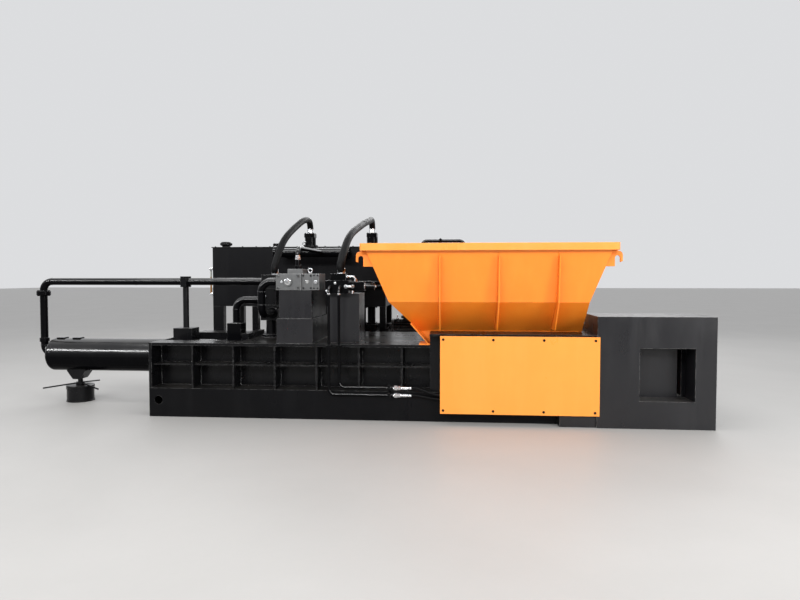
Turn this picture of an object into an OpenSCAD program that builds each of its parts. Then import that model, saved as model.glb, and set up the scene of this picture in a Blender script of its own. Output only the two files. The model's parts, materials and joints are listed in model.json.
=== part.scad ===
// Hydraulic scrap baler with a main ram, a side ram and a sliding gate.
// X runs along the machine, from the main cylinder to the press head.
// Y runs away from the side with the cover plate, and Z is up.
// The origin is on the floor, under the ram's axis, where the guide frame meets the charge box.

/* [Guide frame] */
// Length of the guide frame
guide_l = 3030; // [2700:10:3400]
// Width over the base and the flanges
frame_w = 1500; // [1420:10:1700]
// Height of the base sills
sill_h = 310; // [280:5:360]
// Height of the top of the guide walls
guide_h = 800; // [800:5:860]
// Thickness of the guide and charge webs
web_t = 40; // [25:1:60]
// Thickness of the flanges and the top plate
flange_t = 30; // [15:1:30]
// Thickness of the wall ribs
rib_t = 16; // [8:1:30]
// Distance between the wall ribs
rib_pitch = 452; // [360:2:600]
// Thickness of the plates of the base
base_plate_t = 20; // [10:1:30]
// Diameter of the lifting holes in the base
lift_d = 90; // [60:1:110]

/* [Ram channel] */
// Width of the ram channel
channel_w = 960; // [880:5:1000]
// Height of the channel's floor
channel_z = 276; // [270:1:290]
// Thickness of the floor liner
liner_t = 12; // [8:1:16]
// Running clearance at the sides of a ram
ram_gap = 2; // [1:0.5:5]
// Height of the ram's wear shoes
shoe_h = 10; // [6:1:16]
// Gap between a shoe and what it slides on
shoe_gap = 0.4; // [0.3:0.1:1]

/* [Charge box] */
// Length of the charge box
charge_l = 1663; // [1640:1:1700]
// Height of the charge deck
deck_h = 927; // [900:1:960]
// Thickness of the charge deck
deck_t = 20; // [12:1:30]
// Width of the corner post
post_w = 101; // [80:1:102]

/* [Cover] */
// Length of the cover plate
cover_l = 1581; // [1560:1:1600]
// Height of the cover plate
cover_h = 790; // [770:1:800]
// Thickness of the cover plate
cover_t = 10; // [6:1:14]
// Height of the cover's lower edge
cover_z = 119; // [110:1:125]
// Distance between the cover bolts
cover_pitch = 502; // [490:1:505]
// Diameter of the cover bolts
cover_bolt_d = 16; // [12:1:20]

/* [Press head] */
// Length of the press head
head_l = 1144; // [1120:1:1300]
// Height of the press head
head_h = 1114; // [1050:1:1250]
// Distance from the ram's axis to the head's front
head_front = 890; // [880:1:950]
// Distance from the ram's axis to the head's rear
head_rear = 940; // [930:1:1100]
// Width of the bale window and channel
window_w = 530; // [480:1:540]
// Height of the window's top
window_top = 800; // [790:1:810]
// Length of the ram wall in the head, before the bale channel
entry_l = 411; // [400:1:440]
// Thickness of the rear plate that carries the side cylinder
rear_plate_t = 60; // [40:1:80]

/* [Gate] */
// Thickness of the gate
gate_t = 120; // [80:1:125]
// Overlap of the gate at each side of the window
gate_lap = 40; // [30:1:50]
// Distance that the gate stands open at rest
gate_ajar = 124; // [0:1:200]
// Running gap round the gate
gate_gap = 3; // [1:0.5:6]
// Outer diameter of the gate cylinder
gate_barrel_d = 125; // [100:1:140]
// Diameter of the gate rod
gate_rod_d = 56; // [40:1:70]

/* [Main cylinder] */
// Height of the main cylinder's axis
main_z = 566; // [555:1:575]
// Outer diameter of the main barrel
main_d = 390; // [370:1:400]
// Bore of the main barrel
main_bore = 320; // [280:1:330]
// Diameter of the main rod
main_rod_d = 220; // [160:1:240]
// Length of the main barrel behind its flange
main_barrel_l = 2400; // [2390:1:2500]
// Radius of the main flange
main_flange_r = 265; // [255:1:270]
// Stroke of the main ram
main_stroke = 2074; // [2000:1:2074]

/* [Side cylinder] */
// Outer diameter of the side barrel
side_d = 300; // [270:1:320]
// Bore of the side barrel
side_bore = 240; // [200:1:250]
// Diameter of the side rod
side_rod_d = 160; // [120:1:170]
// Length of the side barrel
side_barrel_l = 1330; // [1320:1:1400]
// Length of the side ram
side_ram_l = 450; // [400:1:452]

/* [Hopper] */
// Length over the rim
rim_l = 2528; // [2500:1:2560]
// Distance from the ram's axis to the rim's outside
rim_y = 1030; // [1000:1:1060]
// Height of the hopper's top
hopper_h = 1840; // [1800:5:1900]
// Height of the rim band
rim_h = 73; // [60:1:90]
// Distance that the rim stands out from the wall
rim_out = 56; // [40:1:70]
// Height of the bend between the upper and the lower walls
bend_z = 1250; // [1200:5:1300]
// Thickness of the hopper plates
hopper_t = 10; // [6:1:14]
// Thickness of the stiffeners
stiff_t = 14; // [8:1:20]
// Distance between the stiffeners
stiff_pitch = 585; // [540:1:600]

/* [Jack] */
// Diameter of the base can
can_d = 314; // [280:1:340]
// Height of the base can
can_h = 190; // [180:1:200]
// Diameter of the jack screw
screw_d = 56; // [40:1:60]
// Length of a handle bar
bar_l = 400; // [340:5:440]
// Slope of the handle bars
bar_slope = 6; // [0:1:6]

/* [Oil tank] */
// Length of the tank
tank_l = 2383; // [2300:1:2400]
// Depth of the tank
tank_w = 900; // [800:1:1000]
// Height of the tank's underside
tank_z = 1108; // [1100:1:1150]
// Height of the tank's body
tank_h = 798; // [780:1:820]
// Distance from the ram's axis to the tank's front
tank_y = 1050; // [1040:1:1100]

/* [Pipes] */
// Diameter of the long feed pipe and the rod-side pipe
feed_d = 84; // [76:1:90]
// Diameter of the return header
header_d = 118; // [100:1:124]
// Diameter of the two hard pipes to the gate cylinder
line_d = 28; // [20:1:34]
// Diameter of the return hoses
return_d = 84; // [70:1:90]
// Diameter of the suction pipes
suction_d = 110; // [90:1:120]
// Diameter of the pressure pipes
pressure_d = 50; // [38:1:56]

/* [Hidden] */

paint_black = [0.09, 0.09, 0.1];
paint_orange = [0.95, 0.45, 0.1];
bare_steel = [0.6, 0.6, 0.62];
manifold_grey = [0.5, 0.5, 0.5];
zinc = [0.8, 0.8, 0.8];
rubber = [0.05, 0.05, 0.05];
chrome = [0.8, 0.8, 0.82];

// Fine division of round shapes
$fn = 64;
half_w = frame_w / 2;
half_c = channel_w / 2;
web_y = half_c + web_t;
floor_z = channel_z - liner_t;
roof_z = guide_h - flange_t;
guide_x0 = -guide_l;
head_x0 = charge_l;
head_x1 = head_x0 + head_l;
window_x0 = head_x0 + entry_l;
window_x1 = window_x0 + window_w;
plinth_x = 1303;
seat_gap = 0.3;

// A block between pairs of limits along X, Y and Z
module block(x, y, z)
    translate([x[0], y[0], z[0]]) cube([x[1] - x[0], y[1] - y[0], z[1] - z[0]]);

// A round bar along X, Y or Z
module bar_x(x0, x1, y, z, r)
    translate([x0, y, z]) rotate([0, 90, 0]) cylinder(r = r, h = x1 - x0);
module bar_y(y0, y1, x, z, r)
    translate([x, y1, z]) rotate([90, 0, 0]) cylinder(r = r, h = y1 - y0);
module bar_z(z0, z1, x, y, r)
    translate([x, y, z0]) cylinder(r = r, h = z1 - z0);

// A plate in the XZ plane with the given outline
module plate_xz(outline, y0, y1)
    translate([0, y1, 0]) rotate([90, 0, 0]) linear_extrude(y1 - y0) polygon(outline);

// A plate in the YZ plane with the given outline
module plate_yz(outline, x0, x1)
    translate([x0, 0, 0]) rotate([90, 0, 90]) linear_extrude(x1 - x0) polygon(outline);

// A pipe along a list of points, with a true bend at each inner point
function along(a, b) = (b - a) / norm(b - a);
function turn(p, i) = acos(along(p[i - 1], p[i]) * along(p[i], p[i + 1]));
function back_off(p, i, bend) = i == 0 || i == len(p) - 1 ? 0 : bend * tan(turn(p, i) / 2);
module straight(a, b, r) {
    d = b - a;
    translate(a) rotate([0, acos(d[2] / norm(d)), atan2(d[1], d[0])]) cylinder(r = r, h = norm(d));
}
module elbow(p, i, r, bend) {
    d = along(p[i - 1], p[i]);
    e = along(p[i], p[i + 1]);
    side = (e - d * (d * e)) / norm(e - d * (d * e));
    axis = cross(d, side);
    c = p[i] - d * back_off(p, i, bend) + side * bend;
    multmatrix([[-side[0], d[0], axis[0], c[0]], [-side[1], d[1], axis[1], c[1]],
            [-side[2], d[2], axis[2], c[2]]])
        rotate_extrude(angle = turn(p, i)) translate([bend, 0]) circle(r = r);
}
module pipe(p, r, bend) {
    for (i = [0 : len(p) - 2])
        straight(p[i] + along(p[i], p[i + 1]) * back_off(p, i, bend),
            p[i + 1] - along(p[i], p[i + 1]) * back_off(p, i + 1, bend), r);
    for (i = [1 : len(p) - 2]) elbow(p, i, r, bend);
}

// A hose swept along a smooth curve through its points; the ends stay square to the first and last leg
hose_sides = 12;
function before(p, i) = i == 0 ? 2 * p[0] - p[1] : p[i - 1];
function after(p, i) = i == len(p) - 2 ? 2 * p[i + 1] - p[i] : p[i + 2];
function curve(p, i, t) = let(a = before(p, i), b = p[i], c = p[i + 1], d = after(p, i))
    (2 * b + (c - a) * t + (2 * a - 5 * b + 4 * c - d) * t * t + (3 * b - a - 3 * c + d) * t * t * t) / 2;
function route(p, steps) = concat([for (i = [0 : len(p) - 2]) for (k = [0 : steps - 1])
    curve(p, i, k / steps)], [p[len(p) - 1]]);
function ways(p, c) = concat([along(p[0], p[1])],
    [for (i = [1 : len(c) - 2]) along(c[i - 1], c[i + 1])], [along(p[len(p) - 2], p[len(p) - 1])]);
function carry(w, n, i = 0) = i == len(w) ? []
    : let(m = n - w[i] * (w[i] * n), u = m / norm(m)) concat([u], carry(w, u, i + 1));
module hose(p, r, steps) {
    c = route(p, steps);
    w = ways(p, c);
    u = carry(w, [1, 0.3, 0.2]);
    last = (len(c) - 1) * hose_sides;
    function at(i, k) = i * hose_sides + k % hose_sides;
    polyhedron([for (i = [0 : len(c) - 1]) for (k = [0 : hose_sides - 1])
            c[i] + r * (cos(k * 360 / hose_sides) * u[i] + sin(k * 360 / hose_sides) * cross(w[i], u[i]))],
        concat([[for (k = [0 : hose_sides - 1]) k]],
            [[for (k = [0 : hose_sides - 1]) last + hose_sides - 1 - k]],
            [for (i = [0 : len(c) - 2]) for (k = [0 : hose_sides - 1]) for (half = [0, 1])
                half == 0 ? [at(i, k), at(i + 1, k), at(i, k + 1)]
                    : [at(i, k + 1), at(i + 1, k), at(i + 1, k + 1)]]));
}

// A hexagon head along X
module hex_x(x0, x1, y, z, across)
    translate([x0, y, z]) rotate([0, 90, 0]) cylinder(r = across / sqrt(3), h = x1 - x0, $fn = 6);

// Base frame with its sills, the lifting holes and the cells inside
lift_x = guide_x0 + 104;
lift_z = 179;
cell_x = [guide_x0 + base_plate_t, guide_x0 + 700, guide_x0 + 1500, guide_x0 + 2300,
    guide_x0 + 3100, guide_x0 + 3700, plinth_x - base_plate_t];
module base_frame() color(paint_black) difference() {
    block([guide_x0, plinth_x], [-half_w, half_w], [0, sill_h]);
    block([guide_x0 - 1, plinth_x + 1], [-web_y, web_y], [floor_z, sill_h + 1]);
    for (i = [0 : len(cell_x) - 2])
        block([cell_x[i] + (i == 0 ? 0 : base_plate_t), cell_x[i + 1]],
            [-half_w + base_plate_t, half_w - base_plate_t], [base_plate_t, floor_z - base_plate_t]);
    for (side = [-1, 1])
        bar_y(side * half_w - base_plate_t - 1, side * half_w + base_plate_t + 1, lift_x, lift_z,
            lift_d / 2);
}

// Guide wall: web, flange, upright ribs and one rib along the middle; side is -1 at the front
mid_rib_z = 553;
mid_rib_t = 14;
rib_y = half_w - 15;
mid_rib_y = half_w - 50;
end_t = 32;
module ribbed_wall(side, x0, x1, ribs) {
    near = side < 0 ? [-web_y, -half_c] : [half_c, web_y];
    flange = side < 0 ? [-half_w, -half_c] : [half_c, half_w];
    rib = side < 0 ? [-rib_y, -web_y] : [web_y, rib_y];
    mid = side < 0 ? [-mid_rib_y, -web_y] : [web_y, mid_rib_y];
    block([x0, x1], near, [floor_z, roof_z]);
    block([x0, x1], flange, [roof_z, guide_h]);
    block([x0, x1], mid, [mid_rib_z, mid_rib_z + mid_rib_t]);
    for (x = ribs) block([x, x + rib_t], rib, [sill_h, roof_z]);
}
guide_ribs = [for (i = [1 : 6]) guide_x0 + end_t - rib_t + i * rib_pitch];
guide_rib_list = [for (x = guide_ribs) if (x < -rib_t) x];
module guide_wall_front() color(paint_black) ribbed_wall(-1, guide_x0 + end_t, 0, guide_rib_list);
module guide_wall_rear() color(paint_black) ribbed_wall(1, guide_x0 + end_t, 0, guide_rib_list);

// End plate of the guide frame; the barrel passes through it
module guide_end_plate() color(paint_black) difference() {
    union() {
        block([guide_x0, guide_x0 + end_t], [-half_w, half_w], [sill_h, guide_h]);
        block([guide_x0, guide_x0 + end_t], [-web_y, web_y], [floor_z, guide_h]);
    }
    bar_x(guide_x0 - 1, guide_x0 + end_t + 1, 0, main_z, main_d / 2 + seat_gap);
    block([guide_x0 - 1, guide_x0 + end_t + 1], [-main_d / 2 - seat_gap, main_d / 2 + seat_gap],
        [main_z, guide_h + 1]);
}

// Top plate over the ram, between the flanges
bulk_x0 = guide_x0 + 870;
bulk_t = 80;
bulk_x1 = bulk_x0 + bulk_t;
module guide_top_plate() color(paint_black)
    block([bulk_x1, 0], [-half_c, half_c], [roof_z, guide_h]);

// Floor liner and the two rails of the gate
gate_z0 = 256;
gate_z1 = window_top + 20;
gate_y1 = -web_y - gate_gap;
gate_y0 = gate_y1 - gate_t;
gate_w = window_w + 2 * gate_lap;
gate_closed_x = window_x0 - gate_lap;
gate_x = gate_closed_x - gate_ajar;
rail_h = 10;
rail_x0 = window_x0 - gate_w - 24;
slot_y0 = gate_y0 - gate_gap;
slot_x1 = window_x1 + gate_lap + 16;
module wear_strips() color(bare_steel) {
    block([bulk_x1, window_x0], [-half_c, half_c], [floor_z, channel_z]);
    block([window_x0, window_x1], [-half_c, head_rear], [floor_z, channel_z]);
    for (z = [gate_z0 - shoe_gap - rail_h, gate_z1 + shoe_gap])
        block([rail_x0, slot_x1], [slot_y0, -web_y], [z, z + rail_h]);
}

// Bulkhead that carries the main cylinder
bolt_n = 12;
bolt_step = 360 / bolt_n;
function ring(i, pcd) = pcd / 2 * [cos((i + 0.5) * bolt_step), sin((i + 0.5) * bolt_step)];
main_pcd = 460;
spigot_r = main_bore / 2 - 4;
main_bolt_r = 15;
module cylinder_bulkhead() color(paint_black) difference() {
    union() {
        block([bulk_x0, bulk_x1], [-half_c, half_c], [floor_z, roof_z]);
        block([bulk_x0, bulk_x1], [-300, 300], [floor_z, guide_h + 60]);
    }
    bar_x(bulk_x0 - 1, bulk_x1 + 1, 0, main_z, spigot_r + seat_gap);
    for (i = [0 : bolt_n - 1])
        bar_x(bulk_x0 - 1, bulk_x1 + 1, ring(i, main_pcd)[0], main_z + ring(i, main_pcd)[1],
            main_bolt_r + seat_gap);
}

// Front charge wall: web, post at the left corner and deck over the cover's space
bracket_x = 330;
gate_cyl_y = gate_y0 - 57;
gate_cyl_z = 538;
gate_pin_r = 20;
module charge_wall_front() color(paint_black) {
    block([0, charge_l], [-web_y, -half_c], [floor_z, deck_h - deck_t]);
    block([0, charge_l], [-head_front, -half_c], [deck_h - deck_t, deck_h]);
    block([0, post_w], [-half_w, -web_y], [sill_h, deck_h - deck_t]);
    difference() {
        block([bracket_x - 60, bracket_x + 40], [gate_cyl_y - 50, -web_y],
            [gate_cyl_z - 110, gate_cyl_z + 110]);
        block([bracket_x - 30, bracket_x + 41], [gate_cyl_y - 51, -web_y - 30],
            [gate_cyl_z - 40, gate_cyl_z + 40]);
        bar_z(gate_cyl_z - 111, gate_cyl_z + 111, bracket_x, gate_cyl_y, gate_pin_r + seat_gap);
    }
}

// Rear charge wall with its ribs
module charge_wall_rear() color(paint_black) {
    block([0, charge_l], [half_c, web_y], [floor_z, deck_h - deck_t]);
    block([0, charge_l], [half_c, half_w], [deck_h - deck_t, deck_h]);
    block([head_x0 - blade_w, head_x0], [-half_c, half_c], [roof_z + blade_h, deck_h]);
    for (x = [for (i = [0 : 3]) rib_t + i * rib_pitch])
        block([x, x + rib_t], [web_y, rib_y], [sill_h, deck_h - deck_t]);
}

// Frame behind the cover plate, with its bolt holes; the cover laps over the press head
cover_lap = 26;
cover_x0 = head_x0 + cover_lap - cover_l;
cover_bolt_x = [for (i = [0 : 3]) cover_x0 + 31 + i * cover_pitch];
cover_bolt_z = [cover_z + 34, cover_z + cover_h - 36];
bolt_edge = 36;
module cover_holes(extra)
    for (x = cover_bolt_x) for (z = cover_bolt_z)
        bar_y(-head_front - cover_t - 1, -head_front + 32, x, z, cover_bolt_d / 2 + extra);
module cover_frame() color(paint_black) difference() {
    union() {
        block([cover_x0, head_x0], [-head_front, -head_front + 30],
            [cover_z + cover_h - 2 * bolt_edge, deck_h - deck_t]);
        block([cover_x0, head_x0], [-head_front, -head_front + 30],
            [cover_z + 16, cover_z + 2 * bolt_edge]);
        for (x = [cover_x0, cover_x0 + 560, cover_x0 + 1120])
            block([x, x + 40], [-head_front, -half_w], [cover_z + 16, cover_z + 2 * bolt_edge]);
    }
    cover_holes(0.2);
}
module cover_plate() color(paint_orange) difference() {
    block([cover_x0, cover_x0 + cover_l], [-head_front - cover_t, -head_front],
        [cover_z, cover_z + cover_h]);
    cover_holes(0.5);
}
module cover_bolts() color(paint_black)
    for (x = cover_bolt_x) for (z = cover_bolt_z) {
        bar_y(-head_front - cover_t, -head_front + 30, x, z, cover_bolt_d / 2);
        bar_y(-head_front - cover_t - 7, -head_front - cover_t, x, z, cover_bolt_d * 0.75);
    }

// Press head: base with the plinth and the wall beside the ram's entry
slot_z0 = gate_z0 - shoe_gap - rail_h;
slot_z1 = gate_z1 + shoe_gap + rail_h;
plinth_y = head_front - 20;
plinth_h = 110;
module gate_slot(x1)
    block([head_x0 - 1, x1], [slot_y0, -web_y], [slot_z0, slot_z1]);
module head_base() color(paint_black) difference() {
    union() {
        block([plinth_x, head_x0], [-half_w, half_w], [0, floor_z]);
        block([plinth_x, head_x0], [-plinth_y, -half_w], [0, plinth_h]);
        block([head_x0, window_x1], [slot_y0, head_rear], [0, floor_z]);
        block([head_x0, window_x0], [half_c, head_rear], [floor_z, roof_z]);
        block([head_x0, window_x0], [-web_y, -half_c], [floor_z, roof_z]);
    }
    block([plinth_x - 1, slot_x1], [slot_y0, -web_y], [slot_z0, slot_z1]);
}

// Press head: front frame with the bale window and the pocket of the gate's lug
lug_l = 50;
lug_h = 120;
module head_front() color(paint_black) difference() {
    block([head_x0, head_x1], [-head_front, slot_y0], [0, head_h]);
    block([window_x0, window_x1], [-head_front - 1, slot_y0 + 1], [channel_z, window_top]);
    block([head_x0 - 1, gate_closed_x + 8], [gate_cyl_y - 50, slot_y0 + 1],
        [gate_cyl_z - lug_h / 2 - 10, gate_cyl_z + lug_h / 2 + 10]);
}

// Press head: top, lower at the rear
head_step_y = -300;
rear_h = 1000;
module head_top() color(paint_black) difference() {
    union() {
        block([head_x0, window_x1], [slot_y0, head_step_y], [roof_z, head_h]);
        block([head_x0, window_x1], [head_step_y, head_rear], [roof_z, rear_h]);
    }
    gate_slot(slot_x1);
}

// Press head: wall at the far end
module head_end_wall() color(paint_black) difference() {
    union() {
        block([window_x1, head_x1], [slot_y0, head_step_y], [0, head_h]);
        block([window_x1, head_x1], [head_step_y, head_rear], [0, rear_h]);
    }
    gate_slot(slot_x1);
}

// Fixed shear blade over the ram's entry
blade_w = 80;
blade_h = 90;
blade_bolts = [for (i = [-2 : 2]) i * 200];
module fixed_blade() color(bare_steel) difference() {
    block([head_x0 - blade_w, head_x0], [-half_c, half_c], [roof_z, roof_z + blade_h]);
    for (y = blade_bolts)
        bar_x(head_x0 - blade_w - 1, head_x0 - blade_w + 20, y, roof_z + blade_h * 0.55, 18);
}

// Rear plate that carries the side cylinder
side_x = (window_x0 + window_x1) / 2;
side_z = (channel_z + roof_z) / 2;
side_flange_r = 215;
side_pcd = 360;
side_spigot_r = side_bore / 2 - 4;
side_y0 = head_rear + rear_plate_t;
module head_rear_plate() color(paint_black) difference() {
    block([window_x0 - 60, window_x1 + 60], [head_rear, side_y0], [0, rear_h - 150]);
    bar_y(head_rear - 1, side_y0 + 1, side_x, side_z, side_spigot_r + seat_gap);
    for (i = [0 : bolt_n - 1])
        bar_y(head_rear - 1, side_y0 + 1, side_x + ring(i, side_pcd)[0],
            side_z + ring(i, side_pcd)[1], main_bolt_r + seat_gap);
}

// Gate with the lug that the rod pulls
module gate() color(paint_black) {
    block([gate_x, gate_x + gate_w], [gate_y0, gate_y1], [gate_z0, gate_z1]);
    difference() {
        block([gate_x - lug_l, gate_x], [gate_cyl_y - 45, gate_y0 + 60],
            [gate_cyl_z - lug_h / 2, gate_cyl_z + lug_h / 2]);
        bar_x(gate_x - lug_l - 1, gate_x - lug_l + 30, gate_cyl_y, gate_cyl_z, gate_rod_d / 2);
    }
}

// Gate cylinder with its tail eye, and the rod with the piston
gate_bore = 90;
gate_barrel_x0 = bracket_x + 50;
gate_barrel_x1 = rail_x0 - lug_l - 14;
gate_gland_l = 70;
gate_piston_l = 50;
gate_piston_x = gate_barrel_x1 - gate_gland_l - 10 - gate_ajar - gate_piston_l;
gate_ports = [gate_barrel_x0 + 60, gate_barrel_x1 - 40];
module gate_cylinder() color(paint_black) {
    difference() {
        union() {
            bar_x(gate_barrel_x0, gate_barrel_x1, gate_cyl_y, gate_cyl_z, gate_barrel_d / 2);
            bar_x(gate_barrel_x1 - 60, gate_barrel_x1, gate_cyl_y, gate_cyl_z, gate_barrel_d / 2 + 8);
            block([bracket_x - 26, gate_barrel_x0 + 10], [gate_cyl_y - 35, gate_cyl_y + 35],
                [gate_cyl_z - 39, gate_cyl_z + 39]);
            for (x = gate_ports)
                bar_z(gate_cyl_z - gate_barrel_d / 2 - 24, gate_cyl_z - gate_bore / 2 - 4, x,
                    gate_cyl_y, 24);
        }
        bar_x(gate_barrel_x0 + 40, gate_barrel_x1 - gate_gland_l, gate_cyl_y, gate_cyl_z, gate_bore / 2);
        bar_x(gate_barrel_x1 - gate_gland_l - 1, gate_barrel_x1 + 1, gate_cyl_y, gate_cyl_z,
            gate_rod_d / 2 + seat_gap);
        bar_z(gate_cyl_z - 40, gate_cyl_z + 40, bracket_x, gate_cyl_y, gate_pin_r + seat_gap);
    }
    bar_z(gate_cyl_z - 118, gate_cyl_z + 118, bracket_x, gate_cyl_y, gate_pin_r);
}
module gate_rod() color(chrome) {
    bar_x(gate_piston_x, gate_x - lug_l + 30, gate_cyl_y, gate_cyl_z, gate_rod_d / 2);
    bar_x(gate_piston_x, gate_piston_x + gate_piston_l, gate_cyl_y, gate_cyl_z,
        gate_bore / 2 - seat_gap);
}

// Hopper outlines: the outside, and the inside one plate thickness in
rim_x0 = -692;
rim_x1 = rim_x0 + rim_l;
rim_z = hopper_h - rim_h;
wall_y = rim_y - rim_out;
bend_x0 = -419;
bend_y = 850;
mouth_x1 = head_x0 - 70;
mouth_y = half_c + 20;
lean = [1, 1.2, 1.4];
module hopper_solid(t, over) intersection() {
    plate_xz([[rim_x0 + rim_out + t * lean[0], hopper_h + over], [rim_x0 + rim_out + t * lean[0], rim_z],
        [bend_x0 + t * lean[1], bend_z], [t * lean[2], guide_h], [t * lean[2], guide_h - over],
        [mouth_x1 - t, guide_h - over], [mouth_x1 - t, bend_z],
        [rim_x1 - rim_out - t * lean[0], rim_z], [rim_x1 - rim_out - t * lean[0], hopper_h + over]],
        -rim_y, rim_y);
    plate_yz([for (side = [-1, 1]) for (i = [0 : 4])
        let(k = side < 0 ? i : 4 - i,
            y = [wall_y - t * lean[0], wall_y - t * lean[0], bend_y - t * lean[1], mouth_y - t * lean[2],
                mouth_y - t * lean[2]],
            z = [hopper_h + over, rim_z, bend_z, deck_h, guide_h - over])
        [side * y[k], z[k]]], rim_x0, rim_x1);
}
wing_top = 1020;
wing_x = bend_x0 * (wing_top - guide_h) / (bend_z - guide_h);
wing_t = 14;
foot_l = 113;
module hopper_shell() color(paint_orange) {
    difference() {
        hopper_solid(0, 0);
        hopper_solid(hopper_t, 1);
        block([0, rim_x1], [-rim_y, rim_y], [guide_h - 1, deck_h]);
    }
    for (side = [[-half_w, -mouth_y], [mouth_y, half_w]]) {
        plate_xz([[-wing_t, guide_h], [0, guide_h], [wing_x + wing_t, wing_top], [wing_x, wing_top]],
            side[0], side[1]);
        block([-foot_l, 0], side, [guide_h, guide_h + wing_t]);
    }
}

// Rim band: an angle section round the top of the hopper
rim_t = 8;
rim_cut = 14;
module rim_outline(x0, x1, y, c) polygon([[x0 + c, -y], [x1 - c, -y], [x1, c - y], [x1, y - c],
    [x1 - c, y], [x0 + c, y], [x0, y - c], [x0, c - y]]);
module hopper_rim() color(paint_orange) difference() {
    translate([0, 0, rim_z]) linear_extrude(rim_h) rim_outline(rim_x0, rim_x1, rim_y, rim_cut);
    translate([0, 0, rim_z - 1]) linear_extrude(rim_h - rim_t + 1)
        rim_outline(rim_x0 + rim_t, rim_x1 - rim_t, rim_y - rim_t, rim_cut);
    block([rim_x0 + rim_out, rim_x1 - rim_out], [-wall_y, wall_y], [rim_z - 1, hopper_h + 1]);
}

// Stiffeners on the long walls of the hopper
stiff_x0 = 97;
stiff_z0 = deck_h + 33;
module hopper_ribs() color(paint_orange) difference() {
    for (i = [0 : 2]) for (side = [-1, 1])
        plate_yz([[side * (mouth_y + 20), stiff_z0], [side * half_w, stiff_z0],
            [side * (bend_y + 110), bend_z], [side * (wall_y + 34), rim_z - 50],
            [side * (wall_y - 40), rim_z - 50], [side * (bend_y - 40), bend_z]],
            stiff_x0 + i * stiff_pitch, stiff_x0 + i * stiff_pitch + stiff_t);
    hopper_solid(0, 0);
}

// Hooks on the end walls for lifting the hopper
hook_y = 900;
hook_t = 30;
hook_r = 26;
hook_c = [rim_x0 - 5, rim_z - 75];
module hook() difference() {
    plate_xz([[hook_c[0] + 160, hook_c[1] - 82], [hook_c[0] + 29, hook_c[1] - 82],
        [hook_c[0] - 23, hook_c[1] - 42], [hook_c[0] - 49, hook_c[1] - 32],
        [hook_c[0] - 49, hook_c[1] + 33], [hook_c[0] - 42, hook_c[1] + 52],
        [hook_c[0] - 28, hook_c[1] + 65], [hook_c[0] + 5, hook_c[1] + 75],
        [hook_c[0] + 110, hook_c[1] + 75]], -hook_t / 2, hook_t / 2);
    bar_y(-hook_t, hook_t, hook_c[0], hook_c[1], hook_r);
    block([hook_c[0] - hook_r, hook_c[0] + hook_r], [-hook_t, hook_t], [rim_z - 300, hook_c[1]]);
}
module hopper_hooks() color(paint_orange) difference() {
    for (y = [-hook_y, hook_y]) translate([0, y, 0]) {
        hook();
        translate([rim_x0 + rim_x1, 0, 0]) mirror([1, 0, 0]) hook();
    }
    hopper_solid(0, 0);
}

// Main barrel with its flange, end cap and the port block on top
main_flange_t = 50;
barrel_x0 = bulk_x0 - main_barrel_l;
cap_l = 64;
cap_r = 40;
port_block_z = main_z + main_d / 2 + 199;
rod_port_x = bulk_x0 - main_flange_t - 115;
module main_barrel() color(paint_black) difference() {
    union() {
        translate([barrel_x0 - cap_l, 0, main_z]) rotate([0, 90, 0]) rotate_extrude() union() {
            translate([0, cap_r]) square([main_d / 2, cap_l - cap_r]);
            square([main_d / 2 - cap_r, cap_l]);
            intersection() {
                translate([main_d / 2 - cap_r, cap_r]) circle(r = cap_r);
                translate([main_d / 2 - cap_r, 0]) square(cap_r);
            }
        }
        bar_x(barrel_x0, bulk_x0, 0, main_z, main_d / 2);
        bar_x(bulk_x0 - main_flange_t, bulk_x0, 0, main_z, main_flange_r);
        block([rod_port_x - 85, rod_port_x + 85], [-90, 90], [main_z, port_block_z]);
        for (x = [barrel_x0 + 10, barrel_x0 + 210]) block([x, x + 90], [-50, 50],
            [main_z, main_z + main_d / 2 + 12]);
    }
    bar_x(barrel_x0, bulk_x0 + 1, 0, main_z, main_bore / 2);
    for (i = [0 : bolt_n - 1])
        bar_x(bulk_x0 - main_flange_t - 1, bulk_x0 + 1, ring(i, main_pcd)[0],
            main_z + ring(i, main_pcd)[1], main_bolt_r + seat_gap);
}

// Gland of the main cylinder
main_gland_l = 130;
module main_gland() color(bare_steel) difference() {
    union() {
        bar_x(bulk_x0 - main_gland_l, bulk_x0, 0, main_z, main_bore / 2);
        bar_x(bulk_x0, bulk_x1 - 20, 0, main_z, spigot_r);
    }
    bar_x(bulk_x0 - main_gland_l - 1, bulk_x1, 0, main_z, main_rod_d / 2 + seat_gap);
}

// Side barrel with its flange, cap and ports
side_flange_t = 45;
side_cap_l = 60;
side_y1 = side_y0 + side_barrel_l;
side_ports = [side_y0 + 125, side_y1 - 150];
side_port_z = side_z + side_d / 2 + 26;
module side_barrel() color(paint_black) difference() {
    union() {
        bar_y(side_y0, side_y1, side_x, side_z, side_d / 2);
        bar_y(side_y0, side_y0 + side_flange_t, side_x, side_z, side_flange_r);
        bar_y(side_y1 - side_cap_l, side_y1, side_x, side_z, side_d / 2 + 12);
        for (y = side_ports) bar_z(side_z, side_port_z, side_x, y, 45);
    }
    bar_y(side_y0 - 1, side_y1 - side_cap_l, side_x, side_z, side_bore / 2);
    for (i = [0 : bolt_n - 1])
        bar_y(side_y0 - 1, side_y0 + side_flange_t + 1, side_x + ring(i, side_pcd)[0],
            side_z + ring(i, side_pcd)[1], main_bolt_r + seat_gap);
}
side_gland_l = 100;
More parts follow.
